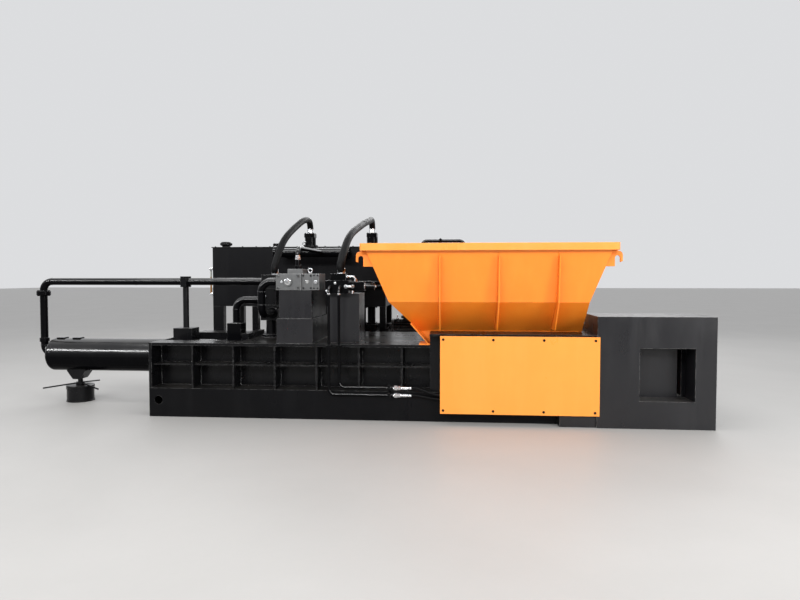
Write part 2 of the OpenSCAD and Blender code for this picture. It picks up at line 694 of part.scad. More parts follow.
module side_gland() color(bare_steel) difference() {
    union() {
        bar_y(side_y0, side_y0 + side_gland_l, side_x, side_z, side_bore / 2);
        bar_y(side_y0 - rear_plate_t + 10, side_y0, side_x, side_z, side_spigot_r);
    }
    bar_y(side_y0 - rear_plate_t, side_y0 + side_gland_l + 1, side_x, side_z,
        side_rod_d / 2 + seat_gap);
}

// Flange bolts of both cylinders, each with its head
head_across = 46;
head_t = 22;
module cylinder_bolts() color(paint_black) for (i = [0 : bolt_n - 1]) {
    a = ring(i, main_pcd);
    bar_x(bulk_x0 - main_flange_t, bulk_x1, a[0], main_z + a[1], main_bolt_r);
    hex_x(bulk_x0 - main_flange_t - head_t, bulk_x0 - main_flange_t, a[0], main_z + a[1], head_across);
    b = ring(i, side_pcd);
    bar_y(side_y0 - rear_plate_t, side_y0 + side_flange_t, side_x + b[0], side_z + b[1], main_bolt_r);
    translate([side_x + b[0], side_y0 + side_flange_t + head_t, side_z + b[1]]) rotate([90, 0, 0])
        cylinder(r = head_across / sqrt(3), h = head_t, $fn = 6);
}

// Main ram: welded box, open at the rear, with its wear shoes and the moving shear blade
ram_x0 = bulk_x1 + 40;
ram_x1 = -12;
ram_y = half_c - ram_gap;
ram_z0 = channel_z + shoe_gap + shoe_h;
ram_z1 = roof_z - 4;
ram_t = 40;
rod_seat_x = ram_x0 + 140;
blade_cut = 3;
module main_ram() color(paint_black) difference() {
    union() {
        block([ram_x0, ram_x1], [-ram_y, ram_y], [ram_z0, ram_z1]);
        for (y = [-440, 300]) block([ram_x0 + 20, ram_x1 - 20], [y, y + 140],
            [channel_z + shoe_gap, ram_z0]);
    }
    block([ram_x0 - 1, rod_seat_x], [ram_t - ram_y, ram_y - ram_t], [ram_z0 + ram_t, ram_z1 - ram_t]);
    block([rod_seat_x + 60, ram_x1 - 120], [ram_t - ram_y, ram_y - ram_t],
        [ram_z0 + ram_t, ram_z1 - ram_t]);
    block([ram_x1 - blade_cut, ram_x1 + 1], [-ram_y - 1, ram_y + 1], [ram_z0 - 1, ram_z1 - blade_h]);
    for (y = blade_bolts) bar_x(ram_x1 - 20, ram_x1 + 1, y, ram_z1 - blade_h / 2, 18);
}

// Main rod with its piston and the end flange in the ram
main_piston_l = 130;
main_stop_gap = 36;
main_piston_x = bulk_x0 - main_gland_l - main_stop_gap - main_stroke - main_piston_l;
module main_rod() color(chrome) {
    bar_x(main_piston_x, rod_seat_x, 0, main_z, main_rod_d / 2);
    bar_x(main_piston_x, main_piston_x + main_piston_l, 0, main_z, main_bore / 2 - seat_gap);
    bar_x(rod_seat_x - 30, rod_seat_x, 0, main_z, main_rod_d / 2 + 35);
}

// Side ram and its rod
side_ram_y0 = half_c + ram_gap;
side_ram_y1 = side_ram_y0 + side_ram_l;
side_seat_y = side_ram_y0 + 90;
side_stroke = side_ram_y0 + web_y - 2 * ram_gap;
module side_ram() color(paint_black) difference() {
    union() {
        block([window_x0 + ram_gap, window_x1 - ram_gap], [side_ram_y0, side_ram_y1], [ram_z0, ram_z1]);
        for (x = [window_x0 + 40, window_x1 - 140]) block([x, x + 100],
            [side_ram_y0 + 20, side_ram_y1 - 20], [channel_z + shoe_gap, ram_z0]);
    }
    block([window_x0 + ram_gap + ram_t, window_x1 - ram_gap - ram_t], [side_seat_y, side_ram_y1 + 1],
        [ram_z0 + ram_t, ram_z1 - ram_t]);
}
side_piston_l = 90;
side_stop_gap = 42;
side_piston_y = side_y0 + side_gland_l + side_stop_gap + side_stroke;
module side_rod() color(chrome) {
    bar_y(side_seat_y, side_piston_y + side_piston_l, side_x, side_z, side_rod_d / 2);
    bar_y(side_piston_y, side_piston_y + side_piston_l, side_x, side_z, side_bore / 2 - seat_gap);
    bar_y(side_seat_y, side_seat_y + 25, side_x, side_z, side_rod_d / 2 + 30);
}

// Screw jack under the tail of the main cylinder
jack_x = barrel_x0 + 270;
nut_h = 40;
nut_z = can_h + seat_gap;
saddle_z = 272;
jack_drop = 36;
screw_foot_z = 54;
module jack_base() color(paint_black) difference() {
    union() {
        bar_z(0, can_h, jack_x, 0, can_d / 2 - 6);
        bar_z(0, 14, jack_x, 0, can_d / 2);
        bar_z(can_h - 24, can_h, jack_x, 0, can_d / 2);
    }
    bar_z(40, can_h + 1, jack_x, 0, screw_d / 2 + 5);
}
module jack_nut() color(paint_black) difference() {
    union() {
        bar_z(nut_z, nut_z + nut_h, jack_x, 0, 50);
        for (a = [90, 210, 330]) translate([jack_x, 0, nut_z + 30]) rotate([0, 90 + bar_slope, a])
            cylinder(r = 9, h = bar_l);
    }
    bar_z(nut_z - 1, nut_z + nut_h + 1, jack_x, 0, screw_d / 2 + seat_gap);
}
module jack_screw() color(paint_black) difference() {
    union() {
        bar_z(screw_foot_z + jack_drop, saddle_z + 20, jack_x, 0, screw_d / 2);
        translate([jack_x, 0, 0]) plate_xz([[-43, saddle_z], [43, saddle_z], [115, main_z - main_d / 2],
            [115, main_z - main_d / 2 + 20], [-115, main_z - main_d / 2 + 20],
            [-115, main_z - main_d / 2]], -85, 85);
    }
    bar_x(jack_x - 200, jack_x + 200, 0, main_z, main_d / 2 + seat_gap);
}

// Junction valve on the top plate, where the pipes of the main cylinder meet
junction_x = -1900;
junction_levels = [guide_h, guide_h + 30, 1000, 1180, 1370, 1530];
module junction_valve() color(paint_black) {
    z = junction_levels;
    bar_z(z[0], z[1], junction_x, 0, 110);
    bar_z(z[1], z[2], junction_x, 0, 60);
    block([junction_x - 100, junction_x + 100], [-100, 100], [z[2], z[3]]);
    block([junction_x - 80, junction_x + 80], [-80, 80], [z[3], z[4]]);
    block([junction_x - 90, junction_x + 90], [-90, 90], [z[4], z[5]]);
    bar_x(junction_x + 90, junction_x + 130, 0, 1440, 45);
}

// Long feed pipe to the tail of the main cylinder, in two lengths with a flange joint
feed_z = 1451;
feed_x = barrel_x0 - cap_l - 115;
feed_bend = 110;
joint_z = 1370;
joint_t = 24;
joint_r = 78;
module feed_pipe() color(paint_black) {
    pipe([[junction_x - 90, 0, feed_z], [feed_x, 0, feed_z], [feed_x, 0, joint_z - 60]], feed_d / 2,
        feed_bend);
    bar_z(joint_z - 60, joint_z - 60 + joint_t, feed_x, 0, joint_r);
}
module feed_drop() color(paint_black) {
    pipe([[feed_x, 0, joint_z - 60], [feed_x, 0, main_z], [barrel_x0 - cap_l, 0, main_z]], feed_d / 2,
        feed_bend);
    bar_z(joint_z - 60 - joint_t, joint_z - 60, feed_x, 0, joint_r);
    bar_z(main_z + 150, main_z + 200, feed_x, 0, feed_d / 2 + 12);
}

// Post on the barrel that carries the long pipe
post_x = -2944;
post_seat = 900;
module pipe_post() color(paint_black) difference() {
    union() {
        block([post_x - 114, post_x + 114], [-105, 105], [main_z + 60, post_seat]);
        bar_z(post_seat, feed_z, post_x, 0, 34);
        block([post_x - 36, post_x + 36], [-70, 70], [feed_z - 66, feed_z + 62]);
    }
    bar_x(post_x - 200, post_x + 200, 0, main_z, main_d / 2);
    bar_x(post_x - 200, post_x + 200, 0, feed_z, feed_d / 2);
}

// Rod-side pipe, link pipe to the manifold and the small pilot pipe
rod_pipe_z = 1233;
manifold_y = [-710, -380];
manifold_z = [1367, 1540];
link_y = -520;
link_x = -1853;
module valve_pipes() color(paint_black) {
    pipe([[junction_x - 80, 0, rod_pipe_z], [rod_port_x, 0, rod_pipe_z], [rod_port_x, 0, port_block_z]],
        feed_d / 2, feed_bend);
    pipe([[-1634, link_y, 1453], [link_x, link_y, 1453], [link_x, link_y, 1090],
        [link_x, -100, 1090]], feed_d / 2, feed_bend);
    bar_x(junction_x + 100, stand_x[0] + 20, -50, 1150, 14);
}

// Stands for the two valve groups: folded plate boxes, open below
stand_x = [-1625, -1240];
stand_step = 1063;
stand_wall = 8;
aux_x = [-1100, -760];
aux_top = 1330;
module stand_box(x, y, z) difference() {
    block(x, y, z);
    block([x[0] + stand_wall, x[1] - stand_wall], [y[0] + stand_wall, y[1] - stand_wall],
        [z[0] - 1, z[1] - stand_wall]);
}
module valve_stands() color(paint_black) {
    stand_box(stand_x, [-730, 70], [guide_h, stand_step]);
    stand_box([stand_x[0] + 20, stand_x[1] - 16], [-700, 50], [stand_step, manifold_z[0]]);
    stand_box(aux_x, [-600, -200], [guide_h, aux_top]);
}

// Steel manifold with its pilot block, and the lifting eye
module main_manifold() color(manifold_grey) {
    block([-1365, -1245], [-680, manifold_y[1]], manifold_z);
    block([-1634, -1365], manifold_y, manifold_z);
    block([-1245, -1173], [-695, manifold_y[1]], manifold_z);
    block([-1527, -1365], [-640, -440], [manifold_z[1], manifold_z[1] + 50]);
    for (x = [-1612, -1395]) for (z = [1392, 1515]) bar_y(manifold_y[0] - 14, manifold_y[0], x, z, 13);
    bar_y(manifold_y[0] - 22, manifold_y[0], -1503, 1453, 42);
    bar_y(-709, -695, -1209, 1453, 22);
    bar_z(manifold_z[1], manifold_z[1] + 14, -1300, -560, 16);
    translate([-1300, -560, manifold_z[1] + 34]) rotate([90, 0, 0]) rotate_extrude()
        translate([22, 0]) circle(r = 6);
}

// Auxiliary valve: block, directional valve and its two solenoids
aux_y = [-700, -450];
module aux_valve() color(paint_black) {
    block([-1110, -860], aux_y, [aux_top, 1470]);
    block([-860, -700], [-660, -520], [1360, 1450]);
    bar_x(-700, -610, -590, 1405, 36);
    bar_x(-610, -596, -590, 1405, 42);
    block([-1060, -900], [-640, -500], [1470, 1540]);
    bar_z(1470, 1500, -880, -640, 16);
}

// Zinc-plated fittings: elbows on the auxiliary valve and the crimped ends of the hoses
line_x = [-1055, -947];
line_y = -780;
line_z = [275, 352];
line_top = 1400;
fitting_x = [-380, -232];
module line_fittings() color(zinc) {
    for (i = [0, 1]) {
        bar_x(fitting_x[0], fitting_x[1], line_y, line_z[i], line_d / 2 + 2);
        hex_x(fitting_x[0] + 12, fitting_x[0] + 48, line_y, line_z[i], 46);
        bar_x(fitting_x[0] + 60, fitting_x[1], line_y, line_z[i], line_d / 2 + 5);
    }
    pipe([[-820, -660, 1405], [-820, -745, 1405], [-886, -745, 1405], [-886, aux_y[0], 1405]], 13, 26);
    bar_y(-676, -660, -820, 1405, 21);
    bar_y(aux_y[0] - 16, aux_y[0], -886, 1405, 21);
    pipe([[-800, -590, 1450], [-800, -590, 1510], [-900, -590, 1510]], 12, 40);
    bar_z(1450, 1466, -800, -590, 20);
}

// Hard pipes to the gate cylinder with their clamps
clamp_x = -440;
clamp_l = 35;
clamp_r = 26;
module gate_pipes() color(paint_black) {
    for (i = [0, 1]) pipe([[line_x[i], aux_y[0], line_top], [line_x[i], line_y, line_top],
        [line_x[i], line_y, line_z[i]], [fitting_x[0], line_y, line_z[i]]], line_d / 2, 60);
    difference() {
        union() {
            block([clamp_x, clamp_x + clamp_l], [line_y - clamp_r, -half_w],
                [line_z[0] - clamp_r, line_z[0] + clamp_r]);
            block([clamp_x, clamp_x + clamp_l], [line_y - clamp_r, -half_w + 50],
                [line_z[1] - clamp_r + 2, line_z[1] + clamp_r]);
            block([clamp_x, clamp_x + clamp_l], [-half_w, -half_w + 50], [sill_h, line_z[1]]);
            block([line_x[0] - 30, line_x[1] + 30], [line_y - clamp_r, -half_w],
                [roof_z, guide_h]);
        }
        for (z = line_z) bar_x(clamp_x - 1, clamp_x + clamp_l + 1, line_y, z, line_d / 2);
        for (x = line_x) bar_z(roof_z - 1, guide_h + 1, x, line_y, line_d / 2);
    }
}

// Hoses from the hard pipes to the gate cylinder, behind the cover
hose_r = 13;
port_z = gate_cyl_z - gate_barrel_d / 2 - 24;
module gate_hoses() color(rubber) {
    hose([[fitting_x[1], line_y, line_z[0]], [-130, line_y, line_z[0]], [60, -782, 245],
        [260, -800, 240], [gate_ports[0] - 30, -795, 290], [gate_ports[0], -735, 350],
        [gate_ports[0], gate_cyl_y, 405], [gate_ports[0], gate_cyl_y, port_z]], hose_r, 3);
    hose([[fitting_x[1], line_y, line_z[1]], [-130, line_y, line_z[1]], [60, -822, 300],
        [300, -835, 275], [700, -835, 262], [1100, -830, 270], [gate_ports[1] - 40, -800, 300],
        [gate_ports[1], -740, 350], [gate_ports[1], gate_cyl_y, 405],
        [gate_ports[1], gate_cyl_y, port_z]], hose_r, 3);
}

// Oil tank: welded shell with a lid, and a sight tube on its left end
tank_x0 = -3033;
tank_x1 = tank_x0 + tank_l;
tank_t = 6;
tank_top = tank_z + tank_h;
module oil_tank() color(paint_black) {
    difference() {
        block([tank_x0, tank_x1], [tank_y, tank_y + tank_w], [tank_z, tank_top]);
        block([tank_x0 + tank_t, tank_x1 - tank_t], [tank_y + tank_t, tank_y + tank_w - tank_t],
            [tank_z + tank_t, tank_top - tank_t]);
    }
    block([tank_x0 - 12, tank_x1 + 12], [tank_y - 12, tank_y + tank_w + 12], [tank_top, tank_top + 10]);
    pipe([[tank_x0, tank_y + 60, 1620], [tank_x0 - 50, tank_y + 60, 1620],
        [tank_x0 - 50, tank_y + 60, 1250], [tank_x0, tank_y + 60, 1250]], 9, 30);
    bar_z(tank_top + 10, tank_top + 60, -2180, tank_y + 120, 40);
}

// Skid with the legs of the tank and the beams of the motors
leg_x = [tank_x0, tank_x0 + 548, tank_x0 + 1333, tank_x0 + 1853, tank_x1 - 84];
leg_w = [150, 84, 84, 84, 84];
leg_d = 90;
skid_x1 = 120;
unit_y = 1350;
unit_z = 740;
motor_r = 190;
beam_w = 90;
beam_y = [unit_y - 160, unit_y + 70];
module power_skid() color(paint_black) {
    for (y = [tank_y, tank_y + tank_w - leg_d]) {
        block([tank_x0, skid_x1], [y, y + leg_d], [0, 80]);
        for (i = [0 : len(leg_x) - 1])
            block([leg_x[i], leg_x[i] + leg_w[i]], [y, y + leg_d], [80, tank_z]);
    }
    for (x = [tank_x0, -2300, -1300, -700, skid_x1 - leg_d])
        block([x, x + leg_d], [tank_y + leg_d, tank_y + tank_w - leg_d], [0, 80]);
    for (x = [-2300, -1300, -700, skid_x1 - leg_d]) for (y = beam_y)
        block([x, x + leg_d], [y, y + beam_w], [80, unit_z - motor_r - 50]);
    for (y = beam_y) block([-2300, skid_x1], [y, y + beam_w],
        [unit_z - motor_r - 50, unit_z - motor_r - 20]);
}

// Breather cap on the tank
module breather_cap() color(paint_black) {
    translate([-2915, tank_y + 200, tank_top + 10]) rotate_extrude() polygon([[0, 0], [58, 0], [58, 22],
        [80, 34], [80, 62], [66, 80], [0, 80]]);
}

// Return filters on the tank, each with its head and the port on top
filter_x = [-1708, -850];
filter_y = 1210;
filter_top = 2100;
module return_filters() color(paint_black) for (x = filter_x) {
    bar_z(tank_top + 10, tank_top + 32, x, filter_y, 105);
    bar_z(tank_top + 32, tank_top + 140, x, filter_y, 75);
    block([x - 70, x + 70], [filter_y - 70, filter_y + 70], [tank_top + 140, filter_top]);
}

// Return hoses from the valves over to the filters
module return_hoses() color(rubber) {
    hose([[-1860, 40, junction_levels[5]], [-1860, 40, 1660], [-1820, 330, 1975], [-1740, 850, 2230],
        [-1712, 1120, 2270], [filter_x[0], filter_y, filter_top + 90], [filter_x[0], filter_y, filter_top]],
        return_d / 2, 3);
    hose([[-960, -560, 1540], [-960, -560, 1670], [-930, -200, 1960], [-880, 400, 2140],
        [-855, 850, 2230], [-850, 1120, 2270], [filter_x[1], filter_y, filter_top + 90],
        [filter_x[1], filter_y, filter_top]], return_d / 2, 3);
}

// Return header in front of the tank, with its stubs and the riser from the manifold
header_y = 750;
header_z = 1822;
header_x = [-2049, -1083];
module return_header() color(paint_black) {
    bar_x(header_x[0], header_x[1], header_y, header_z, header_d / 2);
    bar_x(header_x[0] - 30, header_x[0], header_y, header_z, header_d / 2 + 26);
    bar_x(header_x[1] - 24, header_x[1], header_y, header_z, header_d / 2 + 20);
    for (x = [-1960, -1170]) {
        bar_y(header_y, tank_y, x, header_z, 42);
        bar_y(tank_y - 36, tank_y - 12, x, header_z, 70);
    }
    pipe([[-1440, -540, manifold_z[1] + 50], [-1440, -540, header_z], [-1440, header_y, header_z]],
        24, 80);
    bar_z(manifold_z[1] + 50, manifold_z[1] + 90, -1440, -540, 38);
}

// One power unit along X, from the fan cover at x = 0 to the end of the pump
cover_len = 130;
motor_len = 520;
bell_len = 160;
pump_len = 300;
shaft_r = 24;
fins = 24;
module unit_place(i) translate([i == 0 ? -2330 : 60, unit_y, unit_z]) mirror([i, 0, 0]) children();
module tube_x(x0, x1, r, hole) difference() {
    bar_x(x0, x1, 0, 0, r);
    bar_x(x0 - 1, x1 + 1, 0, 0, hole);
}
module motor() {
    difference() {
        union() {
            tube_x(6, cover_len + 6, motor_r - 12, motor_r - 16);
            bar_x(cover_len, cover_len + 34, 0, 0, motor_r - 8);
            translate([cover_len + 20, 0, 0]) rotate([90, 0, 90]) linear_extrude(motor_len - 40) union() {
                circle(r = motor_r - 30);
                for (i = [0 : fins - 1]) rotate(i * 360 / fins)
                    translate([motor_r - 40, -3]) square([34, 6]);
            }
            bar_x(cover_len + motor_len - 30, cover_len + motor_len, 0, 0, motor_r);
            for (x = [cover_len + 70, cover_len + motor_len - 130]) for (y = [-150, 80])
                block([x, x + 60], [y, y + 70], [-motor_r - 20, -110]);
            block([cover_len + 180, cover_len + 360], [-80, 80], [motor_r - 60, motor_r + 60]);
        }
        bar_x(cover_len - 20, cover_len + motor_len + 1, 0, 0, shaft_r + seat_gap);
    }
    difference() {
        bar_x(0, 12, 0, 0, motor_r - 6);
        for (a = [0 : 30 : 330]) rotate([a, 0, 0]) block([-1, 13], [-12, 12], [60, 150]);
    }
}
module motors() color(paint_black) for (i = [0, 1]) unit_place(i) motor();
module pump() {
    difference() {
        tube_x(cover_len + motor_len, cover_len + motor_len + bell_len, 130, 100);
        for (a = [45 : 90 : 315]) rotate([a, 0, 0])
            block([cover_len + motor_len + 40, cover_len + motor_len + bell_len - 40], [-40, 40],
                [60, 140]);
    }
    difference() {
        union() {
            bar_x(cover_len + motor_len + bell_len, cover_len + motor_len + bell_len + 40, 0, 0, 130);
            bar_x(cover_len + motor_len + bell_len, cover_len + motor_len + bell_len + pump_len,
                0, 0, 96);
            block([cover_len + motor_len + bell_len + 60, cover_len + motor_len + bell_len + 200],
                [-110, 110], [-110, 110]);
        }
        bar_x(cover_len + motor_len + bell_len - 1, cover_len + motor_len + bell_len + 60, 0, 0,
            shaft_r + seat_gap);
    }
}
module pumps() color(paint_black) for (i = [0, 1]) unit_place(i) pump();
module rotor() {
    bar_x(30, cover_len + motor_len + bell_len + 55, 0, 0, shaft_r);
    bar_x(50, 62, 0, 0, 90);
    for (a = [0 : 45 : 315]) rotate([a, 0, 0]) block([50, 100], [-4, 4], [20, 150]);
    bar_x(cover_len + motor_len + 20, cover_len + motor_len + 75, 0, 0, 60);
    bar_x(cover_len + motor_len + 75, cover_len + motor_len + 85, 0, 0, 50);
    bar_x(cover_len + motor_len + 85, cover_len + motor_len + 140, 0, 0, 60);
}
module rotor_1() color(bare_steel) unit_place(0) rotor();
module rotor_2() color(bare_steel) unit_place(1) rotor();
pump_mid = cover_len + motor_len + bell_len + 130;
pump_x = [-2330 + pump_mid, 60 - pump_mid];

// Suction pipes from the tank to the pumps, with a flange at each end
module suction_pipes() color(paint_black) for (x = pump_x) {
    bar_z(unit_z + 110, tank_z, x, unit_y, suction_d / 2);
    bar_z(unit_z + 110, unit_z + 130, x, unit_y, suction_d / 2 + 30);
    bar_z(tank_z - 20, tank_z, x, unit_y, suction_d / 2 + 30);
}

// Pressure pipes from the pumps to the valves, and the two lines to the side cylinder
loop_x = [-165, 395];
loop_z = 1990;
run_z = 880;
side_line_y = [side_ports[0], side_ports[0] + 65];
side_line_from = [[-1010, 960, 1385], [-1075, 1000, 1440]];
module pressure_pipes() color(paint_black) {
    pipe([[pump_x[0], unit_y - 110, unit_z], [pump_x[0], 900, unit_z], [pump_x[0], 900, 1450],
        [pump_x[0], manifold_y[1], 1450]], pressure_d / 2, 80);
    pipe([[pump_x[1] - 40, unit_y - 110, unit_z], [pump_x[1] - 40, 900, unit_z],
        [pump_x[1] - 40, 900, 1405], [pump_x[1] - 40, aux_y[1], 1405]], pressure_d / 2, 80);
    for (i = [0, 1]) {
        start = side_line_from[i];
        y = side_line_y[i];
        tail = i == 0 ? [[side_x, y, run_z], [side_x, y, side_port_z]]
            : [[2100, y, run_z], [2100, side_ports[1], run_z], [side_x, side_ports[1], run_z],
                [side_x, side_ports[1], side_port_z]];
        pipe(concat([[start[0], aux_y[1], start[2]], start, [-400 + i * 70, start[1], start[2]],
            [-400 + i * 70, y, start[2]], [loop_x[0], y, start[2]], [loop_x[0], y, loop_z],
            [loop_x[1], y, loop_z], [loop_x[1], y, run_z]], tail), pressure_d / 2 - 4, 60);
    }
    block([60, 100], [side_line_y[0] - 40, side_line_y[1] + 40],
        [loop_z - 42, loop_z - pressure_d / 2 + 4]);
}

base_frame();
guide_wall_front();
guide_wall_rear();
guide_end_plate();
guide_top_plate();
wear_strips();
cylinder_bulkhead();
charge_wall_front();
charge_wall_rear();
cover_frame();
cover_plate();
cover_bolts();
head_base();
head_front();
head_top();
head_end_wall();
head_rear_plate();
fixed_blade();
gate_cylinder();
hopper_shell();
hopper_rim();
hopper_ribs();
hopper_hooks();
main_barrel();
main_gland();
side_barrel();
side_gland();
cylinder_bolts();
jack_base();
feed_pipe();
feed_drop();
pipe_post();
valve_pipes();
junction_valve();
valve_stands();
main_manifold();
aux_valve();
line_fittings();
gate_pipes();
gate_hoses();
oil_tank();
power_skid();
breather_cap();
return_filters();
return_hoses();
return_header();
motors();
pumps();
suction_pipes();
pressure_pipes();
rotor_1();
rotor_2();
gate();
gate_rod();
main_ram();
main_rod();
side_ram();
side_rod();
jack_nut();
jack_screw();
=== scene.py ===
import bpy
import bmesh
import json
import math
import random
from mathutils import Matrix, Vector


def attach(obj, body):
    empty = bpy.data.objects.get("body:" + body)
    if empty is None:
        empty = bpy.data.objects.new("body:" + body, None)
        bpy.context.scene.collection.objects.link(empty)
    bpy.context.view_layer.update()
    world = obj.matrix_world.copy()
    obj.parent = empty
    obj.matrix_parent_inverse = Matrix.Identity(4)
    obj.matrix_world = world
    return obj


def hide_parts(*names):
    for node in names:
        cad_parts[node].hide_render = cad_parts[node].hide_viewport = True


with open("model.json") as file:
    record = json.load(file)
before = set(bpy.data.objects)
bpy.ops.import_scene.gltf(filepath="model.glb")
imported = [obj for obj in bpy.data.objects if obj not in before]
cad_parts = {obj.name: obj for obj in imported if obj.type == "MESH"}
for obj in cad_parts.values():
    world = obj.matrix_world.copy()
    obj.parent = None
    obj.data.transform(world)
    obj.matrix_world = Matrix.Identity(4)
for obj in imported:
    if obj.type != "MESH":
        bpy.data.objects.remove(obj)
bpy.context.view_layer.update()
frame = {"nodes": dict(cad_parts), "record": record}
nodes = frame["nodes"]
node_body = {n: b for b, group in frame["record"]["behaviour"]["bodies"].items() for n in group}
scene = bpy.context.scene
scene.view_settings.view_transform = "Standard"
MM = 0.001
RIGHT, LEFT = (1, 0, 0), (-1, 0, 0)
BACK, FRONT = (0, 1, 0), (0, -1, 0)
UP, DOWN = (0, 0, 1), (0, 0, -1)
TURN = 2 * math.pi
TIP = 0.05          # radius, in mm, where a turned part comes to a point
CREASE = 38         # degrees; a sharper edge stays sharp
SHORTEST_WELD = 90  # mm; a shorter corner gets no bead
LONGEST_LEG = 220   # mm between two rings of a pipe
BACKDROP = 0.74     # what the camera sees behind the floor

# Camera, solved from the machine's parallel edges

camera = bpy.data.objects.new("camera", bpy.data.cameras.new("camera"))
scene.collection.objects.link(camera)
camera.location = (0.196, -6.95, 1.5)
camera.rotation_euler = (math.radians(87.85), 0, math.radians(4.67))
camera.data.lens = 27
camera.data.sensor_width = 36
scene.camera = camera


# Materials

class Tree:
    """A material's node tree with short helpers. Coordinates are the object's own, in metres."""

    def __init__(self, name):
        self.mat = bpy.data.materials.new(name)
        self.mat.use_nodes = True
        self.nt = self.mat.node_tree
        self.shader = self.nt.nodes["Principled BSDF"]
        self.coord = self.nt.nodes.new("ShaderNodeTexCoord").outputs["Object"]

    def put(self, socket, value):
        """Links a socket to an input, or sets the input to a value."""
        if isinstance(value, bpy.types.NodeSocket):
            self.nt.links.new(value, socket)
        elif isinstance(value, (tuple, list)) and socket.type == "RGBA":
            socket.default_value = (*value[:3], 1)
        else:
            socket.default_value = value

    def math(self, kind, a, b=0.0, clamp=False):
        n = self.nt.nodes.new("ShaderNodeMath")
        n.operation = kind
        n.use_clamp = clamp
        self.put(n.inputs[0], a)
        self.put(n.inputs[1], b)
        return n.outputs[0]

    def times(self, a, b, clamp=False):
        return self.math("MULTIPLY", a, b, clamp)

    def plus(self, a, b, clamp=False):
        return self.math("ADD", a, b, clamp)

    def span(self, value, low, high, to_low=0.0, to_high=1.0):
        """A smooth step from low to high."""
        n = self.nt.nodes.new("ShaderNodeMapRange")
        n.interpolation_type = "SMOOTHSTEP"
        for i, v in enumerate((value, low, high, to_low, to_high)):
            self.put(n.inputs[i], v)
        return n.outputs[0]

    def stretch(self, scale):
        """The coordinates, scaled along each axis."""
        n = self.nt.nodes.new("ShaderNodeMapping")
        self.put(n.inputs["Vector"], self.coord)
        n.inputs["Scale"].default_value = scale
        return n.outputs[0]

    def noise(self, scale, detail=4, rough=0.55, warp=0.0, stretch=(1, 1, 1)):
        n = self.nt.nodes.new("ShaderNodeTexNoise")
        self.put(n.inputs["Vector"], self.stretch(stretch))
        n.inputs["Scale"].default_value = scale
        n.inputs["Detail"].default_value = detail
        n.inputs["Roughness"].default_value = rough
        n.inputs["Distortion"].default_value = warp
        return n.outputs[0]

    def cells(self, scale):
        n = self.nt.nodes.new("ShaderNodeTexVoronoi")
        self.put(n.inputs["Vector"], self.stretch((1, 1, 1)))
        n.inputs["Scale"].default_value = scale
        return n.outputs["Distance"]

    def wave(self, source, scale, warp=0.0, direction="X"):
        n = self.nt.nodes.new("ShaderNodeTexWave")
        n.bands_direction = direction
        self.put(n.inputs["Vector"], source)
        n.inputs["Scale"].default_value = scale
        n.inputs["Distortion"].default_value = warp
        return n.outputs[1]

    def mix(self, fac, a, b):
        n = self.nt.nodes.new("ShaderNodeMix")
        n.data_type = "RGBA"
        self.put(n.inputs[0], fac)
        self.put(n.inputs[6], a)
        self.put(n.inputs[7], b)
        return n.outputs[2]

    def attribute(self, name):
        n = self.nt.nodes.new("ShaderNodeAttribute")
        n.attribute_name = name
        return n.outputs["Fac"]

    def up(self):
        """How far the surface faces up: 1 on top, 0 on a wall."""
        n = self.nt.nodes.new("ShaderNodeNewGeometry")
        s = self.nt.nodes.new("ShaderNodeSeparateXYZ")
        self.put(s.inputs[0], n.outputs["Normal"])
        return s.outputs[2]

    def axis(self, i):
        """One coordinate."""
        s = self.nt.nodes.new("ShaderNodeSeparateXYZ")
        self.put(s.inputs[0], self.coord)
        return s.outputs[i]

    def uv(self):
        return self.nt.nodes.new("ShaderNodeUVMap").outputs[0]

    def bump(self, height, strength, distance, normal=None):
        """Adds relief on top of an earlier normal."""
        n = self.nt.nodes.new("ShaderNodeBump")
        n.inputs["Strength"].default_value = strength
        n.inputs["Distance"].default_value = distance
        self.put(n.inputs["Height"], height)
        if normal:
            self.put(n.inputs["Normal"], normal)
        return n.outputs[0]

    def set(self, **values):
        """Fills the shader in and returns the material."""
        for key, value in values.items():
            self.put(self.shader.inputs[key.replace("_", " ")], value)
        return self.mat


